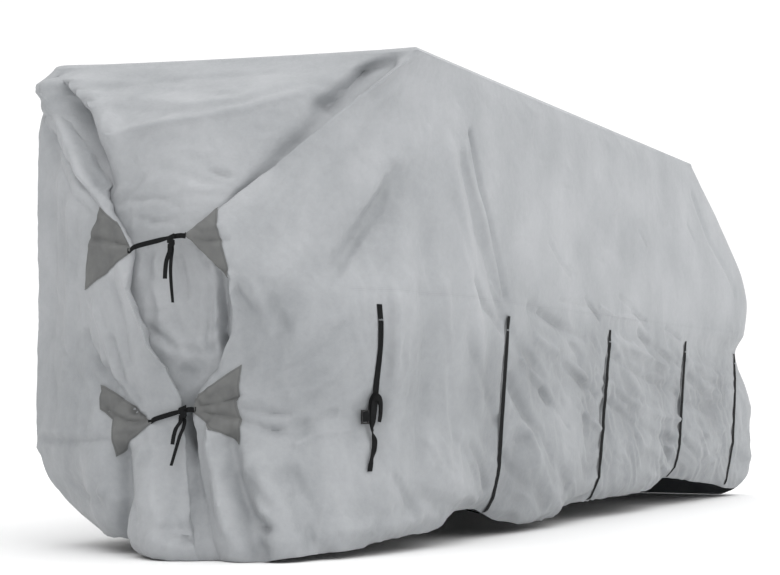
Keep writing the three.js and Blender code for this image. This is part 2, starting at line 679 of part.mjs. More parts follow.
// Patches, each cut to [across, z] corners
const rowOf = (level) => LEVELS.indexOf(level);
const PATCHES = {
  patch_upper_left: {
    columns: [leftEdgeColumn, leftEdgeColumn + 8],
    rows: [rowOf(1370), rowOf(2190)],
    outline: [[1380, 1715], [1480, 1850], [1670, 1985], [1735, 1840], [1790, 1510], [1600, 1590]],
  },
  patch_upper_right: {
    columns: [rightEdgeColumn - 12, rightEdgeColumn],
    rows: [rowOf(1370), rowOf(2190)],
    outline: [[1055, 1785], [1085, 1885], [1040, 1905], [905, 1970], [835, 1750], [760, 1545], [900, 1640]],
  },
  patch_lower_left: {
    columns: [leftEdgeColumn, leftEdgeColumn + 8],
    rows: [rowOf(320), rowOf(1240)],
    outline: [[1290, 745], [1420, 830], [1690, 965], [1680, 820], [1575, 760], [1550, 660], [1500, 545], [1390, 650]],
  },
  patch_lower_right: {
    columns: [rightEdgeColumn - 12, rightEdgeColumn],
    rows: [rowOf(320), rowOf(1240)],
    outline: [[1050, 810], [1050, 860], [900, 970], [750, 1070], [765, 880], [785, 865], [745, 625], [900, 710]],
  },
};
const patches = Object.fromEntries(
  Object.entries(PATCHES).map(([name, patch]) => [name, add(name, patchGeometry(patch), patchCloth)]),
);

const UP = new THREE.Vector3(0, 0, 1);
const LENGTHWAYS = new THREE.Vector3(1, 0, 0);
const place = (out, across, z) => {
  const { x, y } = planPoint(out, across);
  return new THREE.Vector3(x, y, z);
};

// A tie: webbing from patch to patch, its knot and two free tails, as routes of [out, across, z]. The knot
// hangs in front of the webbing where that is at knotAcross, and its flat bottom is at knotBottom.
const TIES = {
  upper_tie: {
    patches: ['patch_upper_right', 'patch_upper_left'],
    sewn: [[[968, 1796], [1000, 1791]], [[1428, 1715], [1465, 1715]]],
    lifts: [1.6, 1.2],
    middle: [[898, 1040, 1788], [884, 1200, 1763], [880, 1390, 1732]],
    knotAcross: 1100,
    knotBottom: 1722,
    tails: [
      { name: 'short_tail', width: 28, route: [
        [909, 1108, 1721.7], [909, 1108, 1702], [896, 1136, 1650], [886, 1150, 1600], [879, 1157, 1548],
      ] },
      { name: 'long_tail', width: 22, route: [
        [900, 1096, 1721.7], [900, 1096, 1702], [898, 1100, 1650], [884, 1102, 1590], [870, 1096, 1520],
        [862, 1084, 1455], [858, 1080, 1422],
      ] },
    ],
  },
  lower_tie: {
    patches: ['patch_lower_right', 'patch_lower_left'],
    sewn: [[[985, 825], [1020, 818]], [[1322, 745], [1360, 745]]],
    lifts: [1.6, 1.6],
    middle: [[775, 1060, 826], [795, 1180, 795], [800, 1300, 762]],
    knotAcross: 1105,
    knotBottom: 772,
    tails: [
      { name: 'short_tail', width: 28, route: [
        [799, 1116, 771.7], [799, 1116, 752], [830, 1142, 715], [850, 1156, 672], [868, 1165, 628],
      ] },
      { name: 'long_tail', width: 22, route: [
        [788, 1098, 771.7], [788, 1098, 752], [817, 1098, 715], [850, 1112, 675], [872, 1136, 605],
        [886, 1150, 555], [898, 1163, 512],
      ] },
    ],
  },
};
const KNOT_DEPTH = 20;
const KNOT_OUTLINE = [[-14, 0], [14, 0], [20, 28], [17, 52], [12, 66], [-12, 66], [-18, 46], [-20, 24]];

const outlined = (corners) => new THREE.Shape(corners.map(([right, up]) => new THREE.Vector2(right, up)));

// A flat-backed piece of a depth that stands on a face: its outline's right and up lie in the face.
function standing(shape, depth, origin, right, outward) {
  const geometry = new THREE.ExtrudeGeometry(shape, { depth, bevelEnabled: false });
  geometry.applyMatrix4(new THREE.Matrix4().makeBasis(right, UP, outward));
  return geometry.translate(...origin.toArray());
}

for (const [name, tie] of Object.entries(TIES)) {
  const sewn = tie.sewn.map(([from, to], i) => [0, 1 / 3, 2 / 3, 1].map((share) => {
    const at = place(0, lerp(from[0], to[0], share), lerp(from[1], to[1], share));
    const { at: point, normal } = touch(patches[tie.patches[i]], at, LENGTHWAYS, GAP + tie.lifts[i] * WEBBING);
    return { at: point, wide: UP.clone().projectOnPlane(normal) };
  }));
  const between = tie.middle.map((at) => ({ at: place(...at), wide: UP }));
  add(`${name}_webbing`, bandGeometry([...sewn[0], ...between, ...sewn[1]], WEBBING), webbing);

  const [from, to] = between.map((section) => section.at);
  const right = from.clone().sub(to).setZ(0).normalize();
  const outward = right.clone().cross(UP);
  const share = (tie.knotAcross - WIDTH / 2 - from.y) / (to.y - from.y);
  const back = from.clone().lerp(to, share).setZ(tie.knotBottom).addScaledVector(outward, 0.7 * WEBBING + GAP);
  add(`${name}_knot`, standing(outlined(KNOT_OUTLINE), KNOT_DEPTH, back, right, outward), webbing);
  for (const tail of tie.tails) {
    const sections = tail.route.map((at) => ({ at: place(...at), wide: right, width: tail.width }));
    add(`${name}_${tail.name}`, bandGeometry(sections, WEBBING), webbing);
  }
}

// Straps that run down both long sides and under the cover, by their distance past the near roof corner
const STRAP_PLACES = [1300, 3300, 5290, 6900];
const STRAP_TOP = 1410;

// The columns between which a strap lies on one long side, and its line there: the point at the hem, the
// way up the cloth and the way along the hem.
function underStrap(x, from, to) {
  const reach = STRAP_WIDTH / 2 + 5;
  const inside = [];
  for (let column = from; column < to; column += 1) {
    const xs = [0, 1].flatMap((k) => grid.slice(0, seamRow + 1).map((row) => row[column + k].x));
    if (Math.min(...xs) < x + reach && Math.max(...xs) > x - reach) inside.push(column);
  }
  const onRow = (row) => {
    const at = inside.find((column) => (grid[row][column].x - x) * (grid[row][column + 1].x - x) <= 0);
    const [p, q] = [at, at + 1].map((column) => lifted(row, column, GAP + WEBBING / 2));
    const wide = q.clone().sub(p).multiplyScalar(Math.sign(q.x - p.x)).normalize();
    return { point: p.lerp(q, (x - p.x) / (q.x - p.x)), wide };
  };
  const { point: low, wide } = onRow(0);
  const up = onRow(1).point.sub(low).normalize();
  return { columns: [inside[0], inside.at(-1) + 1], low, up, wide };
}

// The bend of a strap round the hem: each section by its drop below the hem, its reach in under the cover
// and its share of the slope of the hem.
const HEM_BEND = [
  { drop: -4, inward: -0.9, slope: 1 },
  { drop: 5, inward: -0.9, slope: 1 },
  { drop: 9, inward: 3, slope: 1 },
  { drop: -45, inward: 260, slope: 0 },
];

STRAP_PLACES.forEach((along, at) => {
  const x = ROOF_CORNER_X + along;
  const runs = [
    { side: 1, ...underStrap(x, 0, sideEnd) },
    { side: -1, ...underStrap(x, lapEnd, farEnd) },
  ];
  const pieces = runs.map(({ side, columns, low }) => strapOnCloth({
    columns,
    rows: lower,
    at: low,
    facing: new THREE.Vector2(0, side),
    top: STRAP_TOP,
    bottom: 0,
  }));
  const [nearBend, farBend] = runs.map(({ side, low, up, wide }) => HEM_BEND.map((step) => ({
    at: low.clone().addScaledVector(up, -step.drop).add(new THREE.Vector3(0, side * step.inward, 0)),
    wide: LENGTHWAYS.clone().lerp(wide, step.slope),
    width: STRAP_WIDTH,
  })));
  const under = bandGeometry([...nearBend, ...farBend.reverse()], WEBBING);
  add(`side_strap_${at + 1}`, fromSolid(pieces[0].add(pieces[1]).add(toSolid(under))), webbing);
});

// The loose strap near the gathered end hangs straight down the cloth. Its spare length is folded into a hank
// beside its buckle. Its own directions are right along the cloth, in towards the cloth, and up.
const LOOSE = { out: 185, across: 165, top: 1415, hankTop: 905, turn: 0.47 };
const HANK_DEPTH = 26;
const HANK_OUTLINE = [
  [-19, 0], [-37, -31], [-48, -75], [-50, -100], [-50, -155], [-40, -184], [-35, -198], [-21, -198], [-17, -170],
  [-6, -112], [6, -74], [13, -62], [14, -93], [8, -136], [8, -155], [20, -158], [32, -136], [41, -87], [41, -50],
  [31, -12], [19, 0],
];
const BUCKLE = { width: 50, height: 80, depth: 12, right: -50, top: -86, bar: 9 };
const looseFoot = place(LOOSE.out, LOOSE.across, 0);
const looseIn = new THREE.Vector3(Math.sin(LOOSE.turn), Math.cos(LOOSE.turn), 0);
const looseOut = looseIn.clone().negate();
const looseRight = new THREE.Vector3(Math.cos(LOOSE.turn), -Math.sin(LOOSE.turn), 0);
const looseAt = (right, height, lift) => {
  const start = looseFoot.clone().addScaledVector(looseRight, right).setZ(height);
  return touch(nearLower, start, looseIn, 0).at.addScaledVector(looseOut, lift);
};

// The hank and the buckle hang flat against the part of the cloth that stands out most behind them
const depths = HANK_OUTLINE.map(([right, up]) => looseAt(right, LOOSE.hankTop + up, 0).sub(looseFoot).dot(looseOut));
const hankBack = Math.max(...depths) + 2 * GAP;
const hankAt = (right, up, depth) => looseFoot.clone()
  .addScaledVector(looseRight, right)
  .addScaledVector(looseOut, hankBack + depth)
  .setZ(LOOSE.hankTop + up);

const looseRun = strapOnCloth({
  columns: [COLUMNS.side + 2, sideEnd],
  rows: [rowOf(710), seamRow],
  at: looseFoot,
  facing: looseIn,
  top: LOOSE.top,
  bottom: LOOSE.hankTop + 30,
});
const looseEnd = [
  looseAt(0, LOOSE.hankTop + 45, 1.1 * WEBBING),
  looseAt(0, LOOSE.hankTop + 32, 1.5 * WEBBING),
  hankAt(0, 12, 5),
  hankAt(0, GAP, 5),
];
const endBand = bandGeometry(looseEnd.map((at) => ({ at, wide: looseRight, width: STRAP_WIDTH - 1 })), WEBBING);
add('loose_strap', fromSolid(looseRun.add(toSolid(endBand))), webbing);
add('loose_strap_hank', standing(outlined(HANK_OUTLINE), HANK_DEPTH, hankAt(0, 0, 0), looseRight, looseOut), webbing);

const buckleShape = outlined([[-BUCKLE.width, -BUCKLE.height], [0, -BUCKLE.height], [0, 0], [-BUCKLE.width, 0]]);
const slotHeight = (BUCKLE.height - 3 * BUCKLE.bar) / 2;
for (const low of [BUCKLE.bar, 2 * BUCKLE.bar + slotHeight]) {
  const [left, right] = [BUCKLE.bar - BUCKLE.width, -BUCKLE.bar];
  const [bottom, top] = [low - BUCKLE.height, low + slotHeight - BUCKLE.height];
  buckleShape.holes.push(outlined([[left, bottom], [left, top], [right, top], [right, bottom]]));
}
const buckleCorner = hankAt(BUCKLE.right - GAP, BUCKLE.top, 0);
add('loose_strap_buckle', standing(buckleShape, BUCKLE.depth, buckleCorner, looseRight, looseOut), plastic);

const LOOSE_TAIL = [
  { right: -28, up: -198 - GAP, depth: 12, turn: 0.3 },
  { right: -28, up: -216, depth: 12, turn: 0.8 },
  { right: -22, up: -258, depth: 14, turn: 0.4 },
  { right: -36, up: -312, depth: 18, turn: 1.2 },
  { right: -56, up: -372, depth: 24, turn: 0.5 },
  { right: -70, up: -432, depth: 28, turn: 0 },
];
add('loose_strap_tail', bandGeometry(LOOSE_TAIL.map(({ right, up, depth, turn }) => ({
  at: hankAt(right, up, depth),
  wide: looseRight.clone().applyAxisAngle(UP, turn),
  width: 0.8 * STRAP_WIDTH,
})), WEBBING), webbing);

// The cover stands on its lowest hem, centred over the origin
const box = new THREE.Box3().setFromObject(cover);
const middle = box.getCenter(new THREE.Vector3());
cover.position.set(-middle.x, -middle.y, -box.min.z);

export default cover;
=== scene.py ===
import math
import bmesh
import bpy
import numpy as np
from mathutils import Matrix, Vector, noise


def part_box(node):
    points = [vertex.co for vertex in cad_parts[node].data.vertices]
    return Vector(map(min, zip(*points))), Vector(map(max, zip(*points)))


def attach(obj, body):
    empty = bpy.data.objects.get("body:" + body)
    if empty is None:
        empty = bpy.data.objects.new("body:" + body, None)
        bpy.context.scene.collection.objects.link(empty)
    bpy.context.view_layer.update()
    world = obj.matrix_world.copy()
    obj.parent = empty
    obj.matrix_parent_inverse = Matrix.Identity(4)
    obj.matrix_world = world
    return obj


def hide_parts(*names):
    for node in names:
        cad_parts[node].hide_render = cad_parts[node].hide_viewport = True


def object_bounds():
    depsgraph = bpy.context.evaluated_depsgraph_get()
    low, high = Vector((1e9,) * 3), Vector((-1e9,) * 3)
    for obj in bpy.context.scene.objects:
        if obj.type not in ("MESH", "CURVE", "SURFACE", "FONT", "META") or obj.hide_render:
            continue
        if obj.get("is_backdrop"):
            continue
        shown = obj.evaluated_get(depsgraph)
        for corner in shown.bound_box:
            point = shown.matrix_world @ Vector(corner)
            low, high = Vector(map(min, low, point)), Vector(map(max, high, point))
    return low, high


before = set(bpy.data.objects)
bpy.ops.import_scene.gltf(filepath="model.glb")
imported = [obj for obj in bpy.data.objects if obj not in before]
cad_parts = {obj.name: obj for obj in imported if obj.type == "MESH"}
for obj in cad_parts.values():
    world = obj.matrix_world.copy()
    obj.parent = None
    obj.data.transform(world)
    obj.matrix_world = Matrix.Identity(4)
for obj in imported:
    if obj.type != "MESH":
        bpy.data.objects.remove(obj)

cadBox = [list(corner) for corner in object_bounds()]
print("frame loaded, box", cadBox)

# The cover's own sizes, in metres. out is the reach past the near roof corner towards -X, across is the way
# in from the near roof edge towards +Y, z is the height.
cover = {
    "cornerX": -3.2675,
    "width": 2.35,
    "roofLength": 5.82,
    "roofHeight": 2.925,
    "roofSeam": 2.897,
    "eaves": 2.8,
    "sideSeam": 1.5,
    "freeHeight": 0.6,
    "sideStart": 0.9,
    "thickness": 0.0015,
    "hemCurl": 0.055,
    "curlHeight": 0.13,
}

# The frame sits a millimetre or so off those sizes: a strap gives its X, the top of a seam its Z
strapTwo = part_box("side_strap_2")
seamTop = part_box("near_side_lower")[1]
shift = np.array([
    (strapTwo[0].x + strapTwo[1].x) / 2 - (cover["cornerX"] + 3.3),
    0.0,
    seamTop.z - cover["sideSeam"] + 0.00015,
])


# Camera: the photograph's view, on the gathered end and the near side
view = {
    "place": (-12.6575, -5.425, 0.854),
    "heading": (0.904, 0.427),
    "pitch": math.radians(3.7),
    "lens": 83.08,
    "sensor": 36.0,
}


def makeCamera():
    data = bpy.data.cameras.new("camera")
    data.sensor_fit = "HORIZONTAL"
    data.sensor_width = view["sensor"]
    data.lens = view["lens"]
    data.clip_end = 200
    camera = bpy.data.objects.new("camera", data)
    bpy.context.scene.collection.objects.link(camera)
    ahead = Vector((*view["heading"], 0)).normalized() * math.cos(view["pitch"])
    ahead.z = math.sin(view["pitch"])
    camera.location = view["place"]
    camera.rotation_euler = ahead.to_track_quat("-Z", "Y").to_euler()
    bpy.context.scene.camera = camera


makeCamera()


# Colours and nodes
def linear(hexColor):
    channels = [int(hexColor[at:at + 2], 16) / 255 for at in (1, 3, 5)]
    return (*[c / 12.92 if c <= 0.04045 else ((c + 0.055) / 1.055) ** 2.4 for c in channels], 1.0)


# A node with its settings and links: a number names an input by its place, and stops fill a colour ramp
def node(tree, kind, settings=None, **links):
    made = tree.nodes.new(kind)
    for key, value in (settings or {}).items():
        if key == "stops":
            elements = made.color_ramp.elements
            while len(elements) < len(value):
                elements.new(0.5)
            for element, (at, color) in zip(elements, value):
                element.position, element.color = at, color
        elif isinstance(key, str) and hasattr(made, key) and key not in made.inputs:
            setattr(made, key, value)
        else:
            made.inputs[key].default_value = value
    for key, source in links.items():
        name = key.replace("_", " ")
        slot = made.inputs[int(key[2:])] if key.startswith("in") and key[2:].isdigit() else made.inputs[name]
        tree.links.new(source, slot)
    return made


def newMaterial(name):
    material = bpy.data.materials.new(name)
    material.use_nodes = True
    tree = material.node_tree
    return material, tree, tree.nodes["Principled BSDF"]


# Polypropylene non-woven laminate, spun and thermally point-bonded: a dull silver grey with a fine emboss,
# a soft low sheen, and small crumples that never quite hang out. The emboss is drawn at 9 mm, coarser
# than the real 2 mm, so that it shows at all. Low down the cloth is painted a little darker, as painted shade.
clothFinish = {
    "pale": "#a9abae",
    "deep": "#8f9295",
    "worn": "#7f8285",
    "thread": "#606367",
    "emboss": 0.009,
    "crumple": 0.085,
    "stitchInset": 0.010,
    "stitchHalf": 0.003,
    "sewing": 0.16,
    "roughness": 0.55,
    "sheen": 0.08,
}
black, white = (0, 0, 0, 1), (1, 1, 1, 1)


# How near a point is to a line of sewing beside an edge: 1 on the stitches, 0 past half their width
def sewnLine(tree, edge, finish, bright):
    line = node(tree, "ShaderNodeMath", {"operation": "SUBTRACT", 1: finish["stitchInset"]}, in0=edge)
    near = node(tree, "ShaderNodeMath", {"operation": "ABSOLUTE"}, in0=line.outputs[0])
    stops = [(0.0, (bright, bright, bright, 1)), (finish["stitchHalf"], black)]
    return node(tree, "ShaderNodeValToRGB", {"stops": stops}, Fac=near.outputs[0]).outputs["Color"]


def clothMaterial(name, finish):
    material, tree, shader = newMaterial(name)
    place = node(tree, "ShaderNodeTexCoord").outputs["Object"]
    cutCloth = node(tree, "ShaderNodeUVMap", {"uv_map": "cut"}).outputs["UV"]
    cloudy = node(tree, "ShaderNodeTexNoise", {"Scale": 1.7, "Detail": 3.0}, Vector=place)
    mottle = node(tree, "ShaderNodeTexNoise", {"Scale": 26.0, "Detail": 4.0, "Roughness": 0.7}, Vector=place)
    # The attribute carries painted shading: darker in the hollows of folds and crumples and low down, lighter on
    # their crests
    fold = node(tree, "ShaderNodeAttribute", {"attribute_name": "fold"})
    both = node(tree, "ShaderNodeMath", {"operation": "MULTIPLY_ADD", 1: 0.35}, in0=mottle.outputs["Fac"],
                in2=cloudy.outputs["Fac"])
    shade = node(tree, "ShaderNodeMath", {"operation": "ADD"}, in0=both.outputs[0], in1=fold.outputs["Fac"])
    # The lowest stop carries the ramp below the deep grey, for the painted shade low down
    stops = [(0.0, linear(finish["worn"])), (0.35, linear(finish["deep"])), (0.95, linear(finish["pale"]))]
    tone = node(tree, "ShaderNodeValToRGB", {"stops": stops}, Fac=shade.outputs[0])

    # The seam and a line of sewing beside it, both faint
    edge = node(tree, "ShaderNodeAttribute", {"attribute_name": "edge"}).outputs["Fac"]
    stitch = sewnLine(tree, edge, finish, 0.5)
    gap = node(tree, "ShaderNodeValToRGB", {"stops": [(0.0, white), (finish["stitchHalf"], black)]}, Fac=edge)
    marks = node(tree, "ShaderNodeMath", {"operation": "MAXIMUM"}, in0=stitch, in1=gap.outputs["Color"])
    soften = node(tree, "ShaderNodeMath", {"operation": "MULTIPLY", 1: finish["sewing"]}, in0=marks.outputs[0])
    sewn = node(tree, "ShaderNodeMix", {"data_type": "RGBA", "B": linear(finish["thread"])},
                Factor=soften.outputs[0], A=tone.outputs["Color"])
    tree.links.new(sewn.outputs["Result"], shader.inputs["Base Color"])

    # Relief: the emboss on the cut cloth, then ridged crumples, then fine rumples, then the sewing
    scaled = node(tree, "ShaderNodeMapping", {"Scale": (1 / finish["emboss"],) * 3}, Vector=cutCloth)
    emboss = node(tree, "ShaderNodeTexVoronoi", {"Scale": 1.0, "Randomness": 0.15}, Vector=scaled.outputs["Vector"])
    embossed = node(tree, "ShaderNodeBump", {"Strength": 0.25, "Distance": 0.0006}, Height=emboss.outputs["Distance"])
    drape = node(tree, "ShaderNodeMapping", {"Scale": (0.45, 1, 0.8)}, Vector=place)
    crumple = node(tree, "ShaderNodeTexNoise", {"noise_type": "RIDGED_MULTIFRACTAL", "normalize": False,
                                                "Scale": 0.35 / finish["crumple"], "Detail": 4.0, "Roughness": 0.45,
                                                "Distortion": 1.2}, Vector=drape.outputs["Vector"])
    crumpled = node(tree, "ShaderNodeBump", {"Strength": 0.75, "Distance": 0.016}, Height=crumple.outputs["Fac"],
                    Normal=embossed.outputs["Normal"])
    fine = node(tree, "ShaderNodeTexNoise", {"Scale": 30.0, "Detail": 5.0, "Roughness": 0.6, "Distortion": 0.6},
                Vector=place)
    rumpled = node(tree, "ShaderNodeBump", {"Strength": 0.4, "Distance": 0.008}, Height=fine.outputs["Fac"],
                   Normal=crumpled.outputs["Normal"])
    sunk = node(tree, "ShaderNodeBump", {"Strength": 0.2, "Distance": 0.0005, "invert": True},
                Height=marks.outputs[0], Normal=rumpled.outputs["Normal"])
    tree.links.new(sunk.outputs["Normal"], shader.inputs["Normal"])
    shader.inputs["Roughness"].default_value = finish["roughness"]
    shader.inputs["IOR"].default_value = 1.49
    shader.inputs["Sheen Weight"].default_value = finish["sheen"]
    shader.inputs["Sheen Roughness"].default_value = 0.5
    return material


# Coated polyester oxford, plain woven: a flat brownish grey, duller than the laminate, its weave drawn at 5 mm
patchFinish = {"pale": "#6c6d6c", "deep": "#5d5e5e", "thread": "#4c4d4d", "weave": 0.005, "stitchInset": 0.008,
               "stitchHalf": 0.003, "roughness": 0.72}


def oxfordMaterial(name, finish):
    material, tree, shader = newMaterial(name)
    place = node(tree, "ShaderNodeTexCoord").outputs["Object"]
    cutCloth = node(tree, "ShaderNodeUVMap", {"uv_map": "cut"}).outputs["UV"]
    mottle = node(tree, "ShaderNodeTexNoise", {"Scale": 9.0, "Detail": 4.0}, Vector=place)
    stops = [(0.3, linear(finish["deep"])), (0.7, linear(finish["pale"]))]
    tone = node(tree, "ShaderNodeValToRGB", {"stops": stops}, Fac=mottle.outputs["Fac"])
    edge = node(tree, "ShaderNodeAttribute", {"attribute_name": "edge"}).outputs["Fac"]
    sewn = node(tree, "ShaderNodeMix", {"data_type": "RGBA", "B": linear(finish["thread"])},
                Factor=sewnLine(tree, edge, finish, 0.6), A=tone.outputs["Color"])
    tree.links.new(sewn.outputs["Result"], shader.inputs["Base Color"])
    scaled = node(tree, "ShaderNodeMapping", {"Scale": (1 / finish["weave"],) * 3}, Vector=cutCloth)
    weave = node(tree, "ShaderNodeTexChecker", {"Scale": 1.0}, Vector=scaled.outputs["Vector"])
    woven = node(tree, "ShaderNodeBump", {"Strength": 0.2, "Distance": 0.0005}, Height=weave.outputs["Fac"])
    crumple = node(tree, "ShaderNodeTexNoise", {"Scale": 14.0, "Detail": 4.0}, Vector=place)
    crumpled = node(tree, "ShaderNodeBump", {"Strength": 0.35, "Distance": 0.008}, Height=crumple.outputs["Fac"],
                    Normal=woven.outputs["Normal"])
    tree.links.new(crumpled.outputs["Normal"], shader.inputs["Normal"])
    shader.inputs["Roughness"].default_value = finish["roughness"]
    return material


# Polypropylene webbing, woven in ribs across its width: near black, dry and hardly shining
webbingFinish = {"pale": "#161718", "deep": "#0c0d0e", "rib": 0.0035, "roughness": 0.85, "specular": 0.2}


def webbingMaterial(name, finish):
    material, tree, shader = newMaterial(name)
    place = node(tree, "ShaderNodeTexCoord").outputs["Object"]
    cutCloth = node(tree, "ShaderNodeUVMap", {"uv_map": "cut"}).outputs["UV"]
    mottle = node(tree, "ShaderNodeTexNoise", {"Scale": 60.0, "Detail": 3.0}, Vector=place)
    stops = [(0.3, linear(finish["deep"])), (0.75, linear(finish["pale"]))]
    tone = node(tree, "ShaderNodeValToRGB", {"stops": stops}, Fac=mottle.outputs["Fac"])
    tree.links.new(tone.outputs["Color"], shader.inputs["Base Color"])
    scaled = node(tree, "ShaderNodeMapping", {"Scale": (1 / finish["rib"],) * 3}, Vector=cutCloth)
    ribs = node(tree, "ShaderNodeTexWave", {"bands_direction": "Y", "Scale": 0.32, "Distortion": 0.4},
                Vector=scaled.outputs["Vector"])
    ribbed = node(tree, "ShaderNodeBump", {"Strength": 0.6, "Distance": 0.0008}, Height=ribs.outputs["Fac"])
    tree.links.new(ribbed.outputs["Normal"], shader.inputs["Normal"])
    shader.inputs["Roughness"].default_value = finish["roughness"]
    shader.inputs["Specular IOR Level"].default_value = finish["specular"]
    return material


# Polyester thread, twisted: pale against the webbing, so that the bar tacks read as light marks
threadFinish = {"pale": "#b9bcbf", "deep": "#8b8e91", "grain": 400.0, "detail": 2.0, "roughness": 0.5}

# Acetal, injection moulded with a fine spark finish: almost black, smooth edges that catch a soft light
acetalFinish = {"pale": "#1b1c1e", "deep": "#121314", "grain": 900.0, "detail": 2.0, "roughness": 0.42,
                "spark": 0.0002}


def grainedMaterial(name, finish):
    material, tree, shader = newMaterial(name)
    place = node(tree, "ShaderNodeTexCoord").outputs["Object"]
    grain = node(tree, "ShaderNodeTexNoise", {"Scale": finish["grain"], "Detail": finish["detail"]}, Vector=place)
    stops = [(0.3, linear(finish["deep"])), (0.7, linear(finish["pale"]))]
    tone = node(tree, "ShaderNodeValToRGB", {"stops": stops}, Fac=grain.outputs["Fac"])
    tree.links.new(tone.outputs["Color"], shader.inputs["Base Color"])
    if "spark" in finish:
        fine = node(tree, "ShaderNodeBump", {"Strength": 0.15, "Distance": finish["spark"]},
                    Height=grain.outputs["Fac"])
        tree.links.new(fine.outputs["Normal"], shader.inputs["Normal"])
    shader.inputs["Roughness"].default_value = finish["roughness"]
    return material


laminate = clothMaterial("nonwovenLaminate", clothFinish)
oxford = oxfordMaterial("polyesterOxford", patchFinish)
webbing = webbingMaterial("polypropyleneWebbing", webbingFinish)
thread = grainedMaterial("polyesterThread", threadFinish)
acetal = grainedMaterial("mouldedAcetal", acetalFinish)
print("materials made")


# Form of the cover: level sections, set by tables of places down the height. These tables and
# the folds below them are in millimetres, the rest of the script in metres.
rightLapEdge = {
    "z": (2890, 1790, 1540, 1240, 1050, 890, 800, 460, 0),
    "out": (0, 860, 820, 800, 775, 755, 750, 790, 900),
    "across": (0, 1035, 760, 780, 880, 1020, 1045, 960, 790),
}
leftLapEdge = {
    "z": (2890, 2780, 1730, 1500, 1330, 1050, 870, 800, 460, 0),
    "out": (400, 450, 860, 835, 825, 805, 775, 765, 820, 970),
    "across": (2200, 2270, 1400, 1435, 1356, 1200, 1110, 1110, 1040, 890),
}
swagMiddle = {
    "z": (2890, 2720, 2565, 2300, 2030, 1790, 1500, 1240, 1000, 800, 460, 0),
    "out": (150, 350, 510, 660, 750, 790, 730, 735, 700, 680, 765, 915),
    "across": (1150, 1150, 1160, 1180, 1190, 1190, 1100, 1080, 1060, 1080, 1000, 840),
}
tuck = {
    "z": (2890, 2780, 2600, 1790, 1240, 800, 560, 0),
    "under": (15, 45, 60, 60, 60, 35, 8, 4),
    "deep": (15, 60, 80, 80, 60, 40, 12, 6),
}
nearTurn = {
    "z": (2890, 2340, 1790, 1240, 800, 400, 0),
    "sideOut": (-600, -150, 200, 250, 230, 270, 350),
    "lapOut": (-300, 270, 800, 810, 790, 950, 1150),
    "lapAcross": (0, 190, 550, 420, 520, 370, 250),
}
farCorner = {
    "z": (2890, 2790, 2700, 1790, 1000, 710, 460, 190, 0),
    "out": (340, 440, 430, 430, 430, 430, 425, 410, 400),
    "across": (2330, 2370, 2335, 2335, 2345, 2360, 2320, 2260, 2190),
    "lapOut": (420, 470, 500, 560, 570, 620, 560, 420, 350),
    "lapAcross": (2270, 2300, 2280, 2120, 2110, 2080, 1950, 1820, 1750),
    "edgeOut": (400, 470, 520, 820, 800, 830, 1000, 1180, 1250),
    "edgeAcross": (2240, 2250, 2200, 1750, 1650, 1600, 1500, 1380, 1300),
}
sideSwell = {
    "z": (2890, 2400, 1900, 1500, 1310, 1000, 760, 400, 0),
    "all": (0, 30, 50, 50, 45, 10, -20, -45, -100),
    "far": (0, 40, 90, 70, 0, 30, 50, 50, 40),
}
slopingEnd = {
    "z": (2890, 2770, 2460, 1960, 1730, 1314, 1040, 430, 190, 0),
    "corner": (5720, 5860, 6300, 6800, 6920, 6850, 7000, 7120, 7200, 7120),
    "reach": (120, 250, 330, 360, 380, 330, 360, 360, 360, 330),
}
sideHem = {
    "along": (7400, 7100, 6600, 5960, 5290, 4780, 3750, 3060, 2740, 2430, 1940, 1580, 1070, 800, 520, -50, -290),
    "z": (60, 75, 130, 180, 232, 160, 136, 139, 119, 52, 53, 88, 193, 195, 100, 80, 70),
}
endHem = {
    "across": (2350, 2180, 2070, 1790, 1600, 1310, 1030, 600, 250, 0),
    "z": (320, 290, 190, 100, 90, 30, 0, 0, 40, 70),
}

